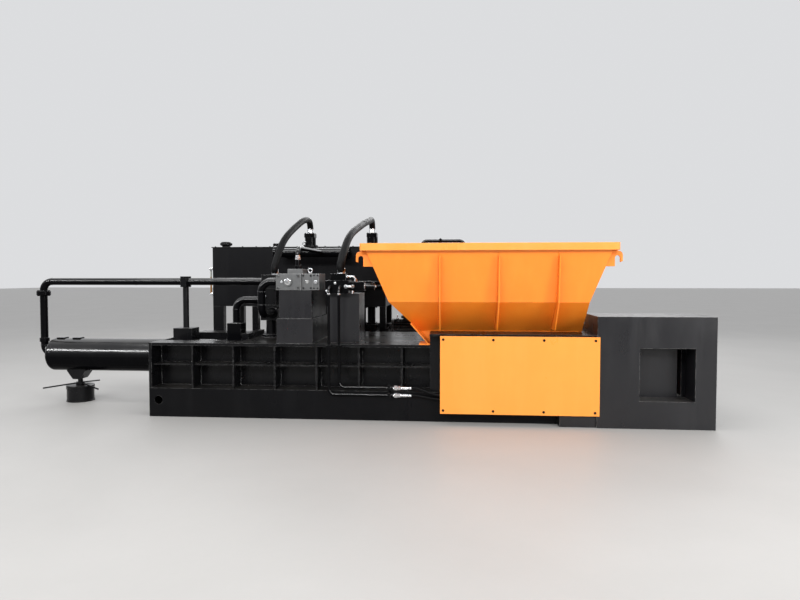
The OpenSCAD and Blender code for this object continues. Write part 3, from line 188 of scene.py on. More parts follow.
def paint(name, tones, rough, dust, chip, chips, peel=0.05, ripple=None, shine=0.5):
    """Workshop paint: tone drift, runs, dust on what faces up, chips along the edges, orange peel.

    tones are the plain, a darker and a paler one; chip is the colour under the paint and chips how much of it
    shows; ripple gives weld beads their scales; a pair of shines goes from surfaces that face sideways to those
    that face up.
    """
    base, dim, pale = tones
    t = Tree(name)
    drift = t.span(t.noise(1.7, 5, 0.6, 0.3), 0.3, 0.7)
    runs = t.span(t.noise(7, 5, 0.62, 0.2, (1, 1, 0.12)), 0.42, 0.72)
    speck = t.span(t.noise(60, 3, 0.7), 0.62, 0.74)
    tone = t.mix(t.times(drift, 0.7), base, dim)
    tone = t.mix(t.times(runs, 0.35), tone, pale)
    tone = t.mix(t.times(speck, 0.10), tone, pale)
    film = t.span(t.noise(3.1, 8, 0.68, 0.4), 0.34, 0.72)
    grit = t.span(t.noise(38, 6, 0.75, 0.2), 0.45, 0.72)
    facing = t.span(t.up(), 0.55, 0.98)
    low = t.span(t.axis(2), 0.42, 0.0)
    settled = t.times(facing, t.plus(t.times(film, 0.5), t.times(grit, 0.5)))
    thrown = t.times(low, t.times(film, 0.035))
    cover = t.times(t.plus(settled, thrown, True), dust, True)
    tone = t.mix(cover, tone, (0.27, 0.245, 0.215))
    worn = t.span(t.plus(t.times(t.attribute("edge"), 0.42), t.noise(26, 6, 0.72, 0.6)), 0.86, 0.98)
    nick = t.span(t.cells(5.5), 0.055, 0.02)
    nick = t.times(nick, t.span(t.noise(2.2, 3, 0.6), 0.56, 0.66))
    bare = t.times(t.plus(worn, t.times(nick, 0.5), True), chips)
    tone = t.mix(bare, tone, chip)
    gloss = t.plus(rough, t.times(drift, 0.08))
    gloss = t.plus(gloss, t.times(cover, 0.5))
    gloss = t.plus(gloss, t.times(runs, 0.07), True)
    skin = t.bump(t.noise(210, 2, 0.5), peel, 0.004)
    skin = t.bump(t.noise(3.3, 2, 0.5), 0.05, 0.05, skin)
    skin = t.bump(t.times(bare, -1.0), 0.25, 0.001, skin)
    if ripple:
        skin = t.bump(t.wave(t.uv(), ripple, 1.2), 0.8, 0.003, skin)
    if isinstance(shine, tuple):
        shine = t.span(t.up(), -0.08, 0.42, *shine)
    return t.set(Base_Color=tone, Roughness=gloss, Specular_IOR_Level=shine, Normal=skin)


BLACK = ((0.0040, 0.0040, 0.0048), (0.0028, 0.0028, 0.0033), (0.0085, 0.0085, 0.0092))
HEAD = ((0.0080, 0.0078, 0.0098), (0.0058, 0.0056, 0.0070), (0.015, 0.0148, 0.0168))
GLOSS = ((0.0030, 0.0030, 0.0036), (0.0022, 0.0022, 0.0026), (0.006, 0.006, 0.0065))
TANK = ((0.0060, 0.0060, 0.0070), (0.0046, 0.0046, 0.0054), (0.0105, 0.0105, 0.0112))
# A paler, yellower copy of the orange tones: painted light, for the brighter light on the front faces of the cover
# plate and the hopper rim.
LIT_ORANGE = ((0.93, 0.328, 0.048), (0.90, 0.305, 0.041), (0.95, 0.36, 0.062))
ORANGE = ((0.94, 0.255, 0.020), (0.91, 0.228, 0.016), (0.96, 0.295, 0.028))
mat = {
    "black": paint("black_paint", BLACK, rough=0.22, dust=0.14, chip=(0.13, 0.128, 0.125), chips=0.55, shine=0.2),
    "sill": paint("sill_paint", BLACK, rough=0.26, dust=0.14, chip=(0.13, 0.128, 0.125), chips=0.55, shine=0.1),
    "head": paint("head_paint", HEAD, rough=0.25, dust=0.35, chip=(0.15, 0.148, 0.145), chips=0.55),
    "tank": paint("tank_paint", TANK, rough=0.36, dust=0.3, chip=(0.14, 0.138, 0.135), chips=0.35, shine=0.08),
    "gloss": paint("gloss_black", GLOSS, rough=0.11, dust=0.12, chip=(0.12, 0.12, 0.12), chips=0.3, peel=0.02,
                   shine=(0.03, 0.80)),
    "weld": paint("weld_black", BLACK, rough=0.16, dust=0.35, chip=(0.16, 0.155, 0.15), chips=0.5, peel=0.08,
                  ripple=28, shine=0.9),
    "orange": paint("orange_paint", ORANGE, rough=0.28, dust=0.20, chip=(0.12, 0.05, 0.03), chips=0.45, peel=0.04),
    "orange_weld": paint("orange_weld", ORANGE, rough=0.32, dust=0.3, chip=(0.2, 0.08, 0.04), chips=0.3, peel=0.08,
                         ripple=28),
    # The cover material: the lit copy of the orange paint, painted light for the cover plate and the hopper rim.
    "cover": paint("lit_orange_paint", LIT_ORANGE, rough=0.26, dust=0.15, chip=(0.14, 0.06, 0.03), chips=0.4, peel=0.03),
}


def machined():
    """Bare machined steel with brush lines and a little rust."""
    t = Tree("machined_steel")
    brush = t.noise(26, 5, 0.7, 0.0, (1, 14, 14))
    patch = t.span(t.noise(4.5, 6, 0.65, 0.6), 0.45, 0.7)
    rust = t.span(t.noise(11, 7, 0.7, 0.8), 0.62, 0.78)
    tone = t.mix(brush, (0.34, 0.335, 0.33), (0.56, 0.555, 0.55))
    tone = t.mix(t.times(patch, 0.45), tone, (0.24, 0.23, 0.22))
    tone = t.mix(t.times(rust, 0.4), tone, (0.20, 0.10, 0.055))
    gloss = t.plus(0.32, t.times(patch, 0.22))
    metal = t.math("SUBTRACT", 1.0, t.times(rust, 0.6))
    return t.set(Base_Color=tone, Metallic=metal, Roughness=gloss, Normal=t.bump(brush, 0.12, 0.001))


def chrome():
    """Hard chrome of the piston rods, slightly hazy."""
    t = Tree("chrome_rod")
    haze = t.span(t.noise(9, 5, 0.6, 0.4), 0.4, 0.75)
    tone = t.mix(haze, (0.78, 0.785, 0.80), (0.66, 0.665, 0.68))
    gloss = t.plus(0.07, t.times(haze, 0.07))
    return t.set(Base_Color=tone, Metallic=1.0, Roughness=gloss,
                 Normal=t.bump(t.noise(160, 2, 0.5, 0, (0.1, 1, 1)), 0.02, 0.001))


def zinc():
    """Zinc plating with a faint yellow tint."""
    t = Tree("zinc_plate")
    patch = t.span(t.noise(24, 5, 0.65, 0.5), 0.38, 0.7)
    tint = t.span(t.noise(9, 3, 0.5, 0.3), 0.5, 0.75)
    tone = t.mix(patch, (0.82, 0.83, 0.85), (0.62, 0.635, 0.66))
    tone = t.mix(t.times(tint, 0.25), tone, (0.75, 0.72, 0.58))
    gloss = t.plus(0.20, t.times(patch, 0.16))
    return t.set(Base_Color=tone, Metallic=1.0, Roughness=gloss,
                 Normal=t.bump(t.noise(90, 3, 0.6), 0.08, 0.001))


def block_grey():
    """The phosphated steel of the main manifold, with mill marks and bright edges."""
    t = Tree("phosphated_block")
    mill = t.noise(34, 4, 0.6, 0.0, (1, 1, 9))
    patch = t.span(t.noise(8, 6, 0.65, 0.5), 0.4, 0.7)
    tone = t.mix(mill, (0.115, 0.118, 0.120), (0.175, 0.178, 0.18))
    tone = t.mix(t.times(patch, 0.5), tone, (0.085, 0.083, 0.08))
    edge = t.span(t.plus(t.times(t.attribute("edge"), 0.4), t.noise(30, 5, 0.7)), 0.72, 0.9)
    tone = t.mix(t.times(edge, 0.7), tone, (0.42, 0.42, 0.42))
    gloss = t.plus(0.34, t.times(patch, 0.2))
    return t.set(Base_Color=tone, Metallic=0.55, Roughness=gloss, Normal=t.bump(mill, 0.06, 0.001))


def hose_rubber():
    """Hose cover with a wrap pattern and grime."""
    t = Tree("hose_rubber")
    wrap = t.wave(t.uv(), 60, 0.0, "DIAGONAL")
    grime = t.span(t.noise(7, 6, 0.65, 0.4), 0.45, 0.75)
    tone = t.mix(t.times(grime, 0.5), (0.0036, 0.0036, 0.0039), (0.0085, 0.0082, 0.0078))
    gloss = t.plus(0.46, t.times(grime, 0.2))
    skin = t.bump(wrap, 0.06, 0.0006)
    return t.set(Base_Color=tone, Roughness=gloss, Specular_IOR_Level=0.12,
                 Normal=t.bump(t.noise(60, 3, 0.6), 0.04, 0.001, skin))


def oil_glass():
    """The sight tube, with oil up to its level."""
    t = Tree("sight_tube")
    level = t.span(t.axis(2), 1.50, 1.505)
    tone = t.mix(level, (0.32, 0.14, 0.015), (0.42, 0.43, 0.40))
    cloud = t.noise(30, 3, 0.6)
    return t.set(Base_Color=t.mix(t.times(cloud, 0.3), tone, (0.2, 0.17, 0.12)), Roughness=0.08,
                 Coat_Weight=1.0, Coat_Roughness=0.03)


mat["steel"] = machined()
mat["chrome"] = chrome()
mat["zinc"] = zinc()
mat["grey"] = block_grey()
mat["rubber"] = hose_rubber()
mat["glass"] = oil_glass()


# Mesh helpers

def shade(obj, angle):
    """Smooth shading with sharp creases, weighted so that flat plates stay flat."""
    me = obj.data
    bm = bmesh.new()
    bm.from_mesh(me)
    for f in bm.faces:
        f.smooth = True
    for e in bm.edges:
        e.smooth = len(e.link_faces) == 2 and e.calc_face_angle(0) < math.radians(angle)
    bm.to_mesh(me)
    bm.free()
    obj.modifiers.new("weighted", "WEIGHTED_NORMAL").keep_sharp = True


def place(obj, body, material, stands_for=()):
    """Puts a piece into the scene with its material, on its body, for the CAD nodes it stands for."""
    scene.collection.objects.link(obj)
    obj.data.materials.append(mat[material])
    if stands_for:
        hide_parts(*stands_for)
    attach(obj, body)


def cross_axes(axis):
    """The axis as a unit vector, and two unit vectors square to it and to each other."""
    axis = Vector(axis).normalized()
    side = axis.orthogonal().normalized()
    return axis, side, axis.cross(side)


def circle(centre, side, other, r, n, turn=0.0):
    """A ring of n points; its plane is given by two unit vectors."""
    return [centre + r * (math.cos(a) * side + math.sin(a) * other)
            for a in (turn + TURN * k / n for k in range(n))]


class Kit:
    """Collects the geometry of one piece, in millimetres, and makes it into an object in metres."""

    def __init__(self):
        self.bm = bmesh.new()
        self.edge = self.bm.faces.layers.float.new("edge")
        self.uv = self.bm.loops.layers.uv.new("UVMap")

    def rings(self, rings, closed=False, length=None):
        """Skins a list of equal rings of points, with an end face on each end unless it is closed."""
        rows = [[self.bm.verts.new(p) for p in ring] for ring in rings]
        n = len(rows[0])
        pairs = list(zip(rows, rows[1:])) + ([(rows[-1], rows[0])] if closed else [])
        run = 0.0
        for a, b in pairs:
            end = run + ((a[0].co - b[0].co).length if length is None else length)
            for k in range(n):
                f = self.bm.faces.new((a[k], a[(k + 1) % n], b[(k + 1) % n], b[k]))
                corners = ((run, k), (run, k + 1), (end, k + 1), (end, k))
                for loop, (u, v) in zip(f.loops, corners):
                    loop[self.uv].uv = (u * MM, v / n)
            run = end
        if not closed:
            self.bm.faces.new(tuple(reversed(rows[0])))
            self.bm.faces.new(tuple(rows[-1]))

    def lathe(self, origin, axis, profile, seg=40):
        """A turned part: profile is (distance along the axis, radius); an open end is closed."""
        axis, side, other = cross_axes(axis)
        closed = ([(profile[0][0], 0)] if profile[0][1] else []) + profile
        closed += [(profile[-1][0], 0)] if profile[-1][1] else []
        self.rings([circle(Vector(origin) + axis * d, side, other, max(r, TIP), seg)
                    for d, r in closed])

    def disc(self, origin, axis, thick, r, chamfer, seg=40):
        """A round plate with broken edges."""
        self.lathe(origin, axis, [(0, r - chamfer), (chamfer, r), (thick - chamfer, r),
                                  (thick, r - chamfer)], seg)

    def nut(self, origin, axis, height, r):
        """A hexagon with a broken outer edge."""
        self.lathe(origin, axis, [(0, r), (height - 2, r), (height, r - 2)], 6)

    def box(self, x, y, z, bevel=2.0):
        """A plate or block with broken edges."""
        made = bmesh.ops.create_cube(self.bm, size=1.0)["verts"]
        for v in made:
            v.co = Vector([pair[0] if c < 0 else pair[1] for c, pair in zip(v.co, (x, y, z))])
        edges = list({e for v in made for e in v.link_edges})
        out = bmesh.ops.bevel(self.bm, geom=edges, offset=bevel, segments=2, profile=0.6, affect="EDGES",
                              clamp_overlap=True)
        for f in out["faces"]:
            f[self.edge] = 1.0

    def hexagon(self, origin, axis, across, height, turn=0.0):
        """A hexagon head with its chamfer and a washer under it."""
        washer = across * 0.08
        self.disc(origin, axis, washer, across * 0.62, 0.4, 20)
        axis, side, other = cross_axes(axis)
        r = across / math.sqrt(3)
        self.rings([circle(Vector(origin) + axis * d, side, other, q, 6, turn)
                    for d, q in ((washer, r), (height * 0.82, r), (height, r * 0.88))])

    def socket(self, origin, axis, r, height):
        """A socket-head screw: a round head with a hexagon recess."""
        axis, side, other = cross_axes(axis)
        sector = math.pi / 3
        rings = []
        for d, q, recess in ((0, 1, False), (0.9, 1, False), (1, 0.93, False), (1, 0.52, True),
                             (0.45, 0.50, True), (0.45, 0.05, True)):
            ring = []
            for a in (TURN * k / 24 for k in range(24)):
                flat = math.cos(sector / 2) / math.cos(a % sector - sector / 2) if recess else 1
                ring.append(Vector(origin) + axis * height * d +
                            r * q * flat * (math.cos(a) * side + math.sin(a) * other))
            rings.append(ring)
        self.rings(rings)

    def tube(self, points, r, seg):
        """A swept tube with square ends along a list of points."""
        pts = [Vector(p) for p in points]
        ways = [(pts[1] - pts[0]).normalized()]
        ways += [(b - a).normalized() for a, b in zip(pts, pts[2:])]
        ways.append((pts[-1] - pts[-2]).normalized())
        side = ways[0].orthogonal().normalized()
        rings = []
        for p, w in zip(pts, ways):
            side = (side - w * side.dot(w)).normalized()
            rings.append(circle(p, side, w.cross(side), r, seg))
        self.rings(rings)

    def bead(self, a, b, na, nb, leg, step, seed):
        """A fillet weld in the corner of two faces with normals na and nb, from a to b."""
        a, b, na, nb = (Vector(v) for v in (a, b, na, nb))
        count = max(2, int((b - a).length / step))
        along = (b - a) / count
        shape = ((-0.06, 1.12), (0.32, 0.90), (0.64, 0.64), (0.90, 0.32), (1.12, -0.06), (-0.05, -0.05))
        local = random.Random(seed * 7919 + int(a.x + 3 * a.y + 7 * a.z))
        rings = []
        for i in range(count + 1):
            s = leg * (1 + local.uniform(-0.07, 0.07) + (0.04 if i % 2 else -0.04))
            if i in (0, count):
                s *= 0.72
            p = a + along * i
            rings.append([p + s * (u * na + v * nb) for u, v in shape])
        self.rings(rings, length=along.length)

    def done(self, name, body, material, stands_for=(), angle=CREASE):
        """Turns it into metres, makes the object and puts it into the scene."""
        bmesh.ops.transform(self.bm, matrix=Matrix.Scale(MM, 4), verts=self.bm.verts)
        bmesh.ops.recalc_face_normals(self.bm, faces=self.bm.faces)
        me = bpy.data.meshes.new(name)
        self.bm.to_mesh(me)
        self.bm.free()
        obj = bpy.data.objects.new(name, me)
        place(obj, body, material, stands_for)
        shade(obj, angle)


def arcs(points, bend, steps):
    """A pipe's centre line with a true bend at each inner point."""
    pts = [Vector(p) for p in points]
    out = [pts[0]]
    for i in range(1, len(pts) - 1):
        u = (pts[i] - pts[i - 1]).normalized()
        v = (pts[i + 1] - pts[i]).normalized()
        angle = u.angle(v)
        if angle < 1e-3:
            out.append(pts[i])
            continue
        back = bend * math.tan(angle / 2)
        start = pts[i] - u * back
        side = (v - u * u.dot(v)).normalized()
        centre = start + side * bend
        for k in range(steps + 1):
            t = angle * k / steps
            out.append(centre - side * bend * math.cos(t) + u * bend * math.sin(t))
    out.append(pts[-1])
    return out


def cut_up(points):
    """The same line with long legs cut up, so that the shading stays even."""
    out = [points[0]]
    for a, b in zip(points, points[1:]):
        n = max(1, int((b - a).length / LONGEST_LEG))
        out += [a + (b - a) * k / n for k in range(1, n + 1)]
    return out


def curve(points, steps):
    """The same smooth curve as the one in the part's source, through every point."""
    p = [Vector(v) for v in points]
    ends = [2 * p[0] - p[1]] + p + [2 * p[-1] - p[-2]]
    out = []
    for i in range(len(p) - 1):
        a, b, c, d = ends[i:i + 4]
        for k in range(steps):
            t = k / steps
            out.append((2 * b + (c - a) * t + (2 * a - 5 * b + 4 * c - d) * t * t
                        + (3 * b - a - 3 * c + d) * t * t * t) / 2)
    return out + [p[-1]]


def weld_corners(bm):
    """Where two faces of a mesh meet in an inner corner: both ends and the way along each face, in mm."""
    found = []
    for e in bm.edges:
        if len(e.link_faces) != 2 or e.calc_length() < SHORTEST_WELD * MM:
            continue
        if not -math.radians(125) < e.calc_face_angle_signed(0) < -math.radians(35):
            continue
        na, nb = (f.normal.copy() for f in e.link_faces)
        a, b = (v.co.copy() for v in e.verts)
        along = (b - a).normalized()
        ua, ub = along.cross(na), along.cross(nb)
        ua = ua if ua.dot(nb) > 0 else -ua
        ub = ub if ub.dot(na) > 0 else -ub
        trim = along * 0.006
        found.append(((a + trim) / MM, (b - trim) / MM, ub, ua))
    return found


def dress(name, material, width=2.0, weld=None, leg=7.0):
    """A copy of a CAD node with broken edges, worn where they are, and weld beads in its inner corners."""
    src = nodes[name].data
    me = bpy.data.meshes.new(name + "_fine")
    me.from_pydata([v.co[:] for v in src.vertices], [], [p.vertices[:] for p in src.polygons])
    bm = bmesh.new()
    bm.from_mesh(me)
    worn = bm.faces.layers.float.new("edge")
    bmesh.ops.remove_doubles(bm, verts=bm.verts, dist=2e-5)
    bmesh.ops.dissolve_limit(bm, angle_limit=math.radians(0.4), use_dissolve_boundaries=False,
                             verts=bm.verts, edges=bm.edges)
    corners = weld_corners(bm) if weld else []
    if corners:
        kit = Kit()
        for i, corner in enumerate(corners):
            kit.bead(*corner, leg, 12.0, i)
        kit.done(name + "_welds", node_body[name], weld)
    sharp = [e for e in bm.edges if len(e.link_faces) == 2 and e.calc_face_angle_signed(0) > math.radians(28)]
    out = bmesh.ops.bevel(bm, geom=sharp, offset=width * MM, segments=2, profile=0.6, affect="EDGES",
                          clamp_overlap=False)
    for f in out["faces"]:
        f[worn] = 1.0
    bm.to_mesh(me)
    bm.free()
    obj = bpy.data.objects.new(name + "_fine", me)
    place(obj, node_body[name], material, [name])
    shade(obj, CREASE)


# Plates and boxes: CAD node, paint, width of its broken edges and leg of its weld beads, 0 for none

for name, material, width, leg in (
        ("base_frame", "sill", 3, 9),
        ("guide_wall_front", "black", 2.5, 8), ("guide_wall_rear", "black", 2.5, 8),
        ("guide_end_plate", "black", 3, 0), ("guide_top_plate", "black", 2.5, 0),
        ("cylinder_bulkhead", "black", 3, 9), ("charge_wall_front", "black", 2.5, 8),
        ("charge_wall_rear", "black", 2.5, 8), ("cover_frame", "black", 2, 5),
        ("main_ram", "black", 3, 9), ("side_ram", "black", 3, 9), ("pipe_post", "black", 2, 6),
        ("jack_nut", "black", 1, 0), ("power_skid", "black", 2.5, 6), ("pumps", "black", 1.5, 0),
        ("junction_valve", "black", 2.5, 0), ("gate_cylinder", "black", 1.5, 4),
        ("cylinder_bolts", "black", 1, 0),
        ("head_base", "head", 3, 9), ("head_front", "head", 4, 0), ("head_top", "head", 4, 0),
        ("head_end_wall", "head", 4, 0), ("head_rear_plate", "head", 3, 0), ("gate", "head", 3, 7),
        ("valve_stands", "head", 2, 0),
        ("oil_tank", "tank", 1.5, 0), ("motors", "black", 1, 0), ("aux_valve", "gloss", 2, 0),
        # The cover plate and the hopper rim take the lit copy of the orange paint: painted light.
        ("return_filters", "gloss", 2, 0), ("cover_plate", "cover", 1.5, 0), ("hopper_rim", "cover", 1.5, 0),
        ("hopper_shell", "orange", 1.5, 6), ("hopper_ribs", "orange", 1.5, 0),
        ("hopper_hooks", "orange", 2.5, 0), ("main_manifold", "grey", 2, 0),
        ("wear_strips", "steel", 1, 0), ("fixed_blade", "steel", 1, 0), ("main_gland", "steel", 1, 0),
        ("side_gland", "steel", 1, 0), ("rotor_1", "steel", 1, 0), ("rotor_2", "steel", 1, 0)):
    bead_paint = "orange_weld" if material == "orange" else "weld"
    dress(name, material, width, bead_paint if leg else None, leg)

# Cylinders and rods

CAP_X, BARREL_X, AXIS_Z, R_MAIN = -4624, -4560, 566, 195
SIDE_X, SIDE_Z, SIDE_PORT_Y = 2339, 523, (1125, 2180)

kit = Kit()
dome = [(40 - 40 * math.cos(a), R_MAIN - 40 + 40 * math.sin(a)) for a in (math.pi / 16 * k for k in range(9))]
kit.lathe((CAP_X, 0, AXIS_Z), RIGHT, [(0, 90)] + dome +
          [(64, R_MAIN), (66, R_MAIN - 2.5), (69, R_MAIN - 2.5), (71, R_MAIN)] +
          [(d, R_MAIN) for d in range(300, 2400, 300)] +
          [(2408, R_MAIN), (2414, R_MAIN + 6), (2414, 262), (2417, 265), (2461, 265), (2464, 262)], 96)
kit.box((-2410, -2240), (-90, 90), (700, 960), 4)
for x in (BARREL_X + 10, BARREL_X + 210):
    kit.box((x, x + 90), (-50, 50), (720, AXIS_Z + R_MAIN + 12), 3)
kit.done("main_barrel_fine", "frame", "gloss", ["main_barrel"])

kit = Kit()
kit.lathe((SIDE_X, 1000, SIDE_Z), BACK, [(0, 212), (3, 215), (42, 215), (45, 212), (45, 156), (51, 150)] +
          [(d, 150) for d in range(250, 1260, 250)] +
          [(1270, 150), (1270, 160), (1272, 162), (1328, 162), (1330, 160)], 72)
for y in SIDE_PORT_Y:
    kit.lathe((SIDE_X, y, 640), UP, [(0, 45), (56, 45), (58.5, 43), (59, 0)], 36)
kit.done("side_barrel_fine", "frame", "gloss", ["side_barrel"])

kit = Kit()
kit.lathe((-4530, 0, AXIS_Z), RIGHT, [(0, 157), (3, 159.7), (127, 159.7), (130, 157), (130, 110)] +
          [(d, 110) for d in range(500, 2500, 400)] + [(2600, 110), (2600, 143), (2602, 145), (2630, 145)], 72)
kit.done("main_rod_fine", "main_ram", "chrome", ["main_rod"])

kit = Kit()
kit.lathe((SIDE_X, 2230, SIDE_Z), FRONT, [(0, 117), (3, 119.7), (87, 119.7), (90, 117), (90, 80), (900, 80),
                                          (1633, 80), (1633, 108), (1635, 110), (1658, 110)], 72)
kit.done("side_rod_fine", "side_ram", "chrome", ["side_rod"])
dress("gate_rod", "chrome", 1.5)

# Jack

JACK_X = -4290
THREADS, PITCH, STEPS = 15, 12, 24

kit = Kit()
kit.lathe((JACK_X, 0, 0), UP, [
    (0, 155), (2, 157), (12, 157), (14, 155), (14, 151), (166, 151), (166, 155), (168, 157),
    (188, 157), (190, 155), (190, 33), (40, 33), (40, 0)], 72)
for a in (TURN * k / 12 for k in range(12)):
    kit.hexagon((JACK_X + 151 * math.cos(a), 151 * math.sin(a), 152), (math.cos(a), math.sin(a), 0), 12, 5)
kit.done("jack_base_fine", "frame", "black", ["jack_base"])

kit = Kit()
thread = []
for k in range(THREADS * STEPS + 1):
    a = TURN * k / STEPS
    thread.append([(JACK_X + r * math.cos(a), r * math.sin(a), 92 + PITCH * k / STEPS + d)
                   for r, d in ((23.5, 0), (28, 2.4), (28, 6.6), (23.5, 9))])
kit.rings(thread)
kit.lathe((JACK_X, 0, 90), UP, [(0, 22), (2, 24), (182, 24)], 32)
kit.done("jack_thread", "jack_screw", "steel")
dress("jack_screw", "black", 1.5)

# Pipes

FEED_X, FEED_Z, JOINT_Z, JUNCTION_X, MANIFOLD_Z = -4739, 1451, 1310, -1900, 1453
PIPE_R, SEAM_R = 42, 41
LINE_Y, LINES = -780, ((-1055, 275), (-947, 352))   # gate pipes: x where they come down, z where they run
SUCTION_X, PRESSURE_X = (-1390, -880), (-1390, -920)
LOOP_Y, LOOP_Z, PORT_Z = (1125, 1190), 1990, 699    # pipes over the press head, to the side cylinder's ports
HEADER_X, HEADER_Y, HEADER_Z, RETURN_X = (-2049, -1083), 750, 1822, (-1960, -1170)
RISER_X, RISER_Y = -1440, -540
SQUARE = ((-1, -1), (1, -1), (-1, 1), (1, 1))       # four screws about a centre
UNIT_Y, UNIT_Z = 1350, 740                          # axis of the motors and pumps


def ring_points(n, pcd):
    """Centres of n bolts on a pitch circle."""
    return [(pcd / 2 * math.cos(a), pcd / 2 * math.sin(a))
            for a in (TURN * (k + 0.5) / n for k in range(n))]


def weld_ring(kit, centre, axis, r, size=5):
    """A weld bead round a pipe where it meets a plate."""
    axis, side, other = cross_axes(axis)
    n = max(24, int(r * 0.9))
    rings = []
    for k in range(n):
        a = TURN * k / n
        out = math.cos(a) * side + math.sin(a) * other
        s = size * (1 + 0.12 * math.sin(k * 2.4))
        rings.append([Vector(centre) + out * (r + s * u) + axis * (s * v)
                      for u, v in ((0, -0.2), (0, 1.1), (0.55, 0.75), (1.1, 0), (0.6, -0.2))])
    kit.rings(rings, closed=True)


def seam(kit, centre, axis):
    """A weld seam round one of the big pipes."""
    weld_ring(kit, centre, axis, SEAM_R, 3.5)
    weld_ring(kit, centre, -Vector(axis), SEAM_R, 3.5)


def flange_bolts(kit, centre, axis, n, pcd, across, grip):
    """Hexagon heads on both faces of a flange pair; grip is its whole thickness, centred."""
    axis, side, other = cross_axes(axis)
    for u, v in ring_points(n, pcd):
        p = Vector(centre) + side * u + other * v
        for way in (-1, 1):
            kit.hexagon(p + axis * way * grip / 2, axis * way, across, across * 0.6)


def loose_flange(kit, centre, axis, r, thick, across, pcd):
    """A flange centred on a point of a pipe, with four bolts."""
    kit.disc(Vector(centre) - Vector(axis) * thick / 2, axis, thick, r, 2)
    flange_bolts(kit, centre, axis, 4, pcd, across, thick)


def fine_pipe(name, runs, material, extra):
    """The pipes of a CAD node: runs holds points, radius and bend; extra adds flanges, nuts and welds."""
    kit = Kit()
    for points, r, bend in runs:
        kit.tube(cut_up(arcs(points, bend, 10)), r, 40)
    extra(kit)
    kit.done(name + "_fine", "frame", material, [name], 30)


def feed_extra(kit):
    kit.disc((FEED_X, 0, JOINT_Z), UP, 24, 78, 2)
    flange_bolts(kit, (FEED_X, 0, JOINT_Z), UP, 8, 122, 19, 48)
    weld_ring(kit, (FEED_X, 0, JOINT_Z + 24), UP, PIPE_R)
    seam(kit, (-4629, 0, FEED_Z), RIGHT)
    seam(kit, (-3560, 0, FEED_Z), RIGHT)


fine_pipe("feed_pipe", [
    ([(JUNCTION_X - 90, 0, FEED_Z), (FEED_X, 0, FEED_Z), (FEED_X, 0, JOINT_Z)], PIPE_R, 110)], "gloss", feed_extra)


def drop_extra(kit):
    kit.disc((FEED_X, 0, JOINT_Z - 24), UP, 24, 78, 2)
    weld_ring(kit, (FEED_X, 0, JOINT_Z - 24), DOWN, PIPE_R)
    kit.disc((FEED_X, 0, AXIS_Z + 150), UP, 50, 54, 2)
    weld_ring(kit, (CAP_X, 0, AXIS_Z), LEFT, PIPE_R, 7)
    seam(kit, (FEED_X, 0, AXIS_Z + 112), UP)


fine_pipe("feed_drop", [
    ([(FEED_X, 0, JOINT_Z), (FEED_X, 0, AXIS_Z), (CAP_X, 0, AXIS_Z)], PIPE_R, 110)], "gloss", drop_extra)


def valve_extra(kit):
    weld_ring(kit, (-2325, 0, 960), UP, PIPE_R, 6)
    seam(kit, (-2215, 0, 1233), RIGHT)
    for p in ((-2325, 0, 1123), (-1853, -520, 1343), (-1853, -520, 1200)):
        seam(kit, p, UP)
    loose_flange(kit, (-1668, -520, MANIFOLD_Z), RIGHT, 66, 26, 19, 100)
    loose_flange(kit, (-1995, 0, 1233), RIGHT, 66, 22, 19, 100)
    loose_flange(kit, (-1853, -118, 1090), BACK, 66, 26, 19, 100)


fine_pipe("valve_pipes", [
    ([(JUNCTION_X - 80, 0, 1233), (-2325, 0, 1233), (-2325, 0, 960)], PIPE_R, 110),
    ([(-1634, -520, MANIFOLD_Z), (-1853, -520, MANIFOLD_Z), (-1853, -520, 1090), (-1853, -100, 1090)], PIPE_R, 110),
    ([(-1800, -50, 1150), (-1605, -50, 1150)], 14, 0)], "gloss", valve_extra)


def gate_pipe_extra(kit):
    for z0, z1 in ((249, 301), (328, 378)):
        split = (z0 + z1) / 2
        kit.box((-440, -405), (-806, -752), (z0, split - 0.6), 2)
        kit.box((-440, -405), (-806, -752), (split + 0.6, z1), 2)
        kit.hexagon((-422, -797, z1), UP, 13, 8)
    kit.box((-440, -405), (-752, -750), (270, 352), 0.5)
    for x, z in LINES:
        kit.box((x - 27, x + 27), (-806, -751), (772, 798), 2)
        kit.hexagon((x - 19, -806, 785), FRONT, 12, 7)
        kit.hexagon((x + 19, -806, 785), FRONT, 12, 7)
        kit.nut((x, -709, 1400), FRONT, 16, 19)
        kit.nut((-398, LINE_Y, z), RIGHT, 17, 21)


fine_pipe("gate_pipes", [
    ([(x, -700, 1400), (x, LINE_Y, 1400), (x, LINE_Y, z), (-380, LINE_Y, z)], 14, 60)
    for x, z in LINES], "gloss", gate_pipe_extra)


def pressure_runs():
    """One pipe from each pump, and the two that lead to the side cylinder."""
    runs = [([(x, 1240, UNIT_Z), (x, 900, UNIT_Z), (x, 900, z), (x, y, z)], 25, 80)
            for x, y, z in zip(PRESSURE_X, (-380, -450), (1450, 1405))]
    near, far = SIDE_PORT_Y
    tails = ([(SIDE_X, near, 880), (SIDE_X, near, PORT_Z)],
             [(2100, LOOP_Y[1], 880), (2100, far, 880), (SIDE_X, far, 880), (SIDE_X, far, PORT_Z)])
    starts = ((-1010, 960, 1385, -400), (-1075, 1000, 1440, -330))
    for (x, back, z, turn), y, tail in zip(starts, LOOP_Y, tails):
        runs.append(([(x, -450, z), (x, back, z), (turn, back, z), (turn, y, z), (-165, y, z),
                      (-165, y, LOOP_Z), (395, y, LOOP_Z), (395, y, 880)] + tail, 21, 60))
    return runs


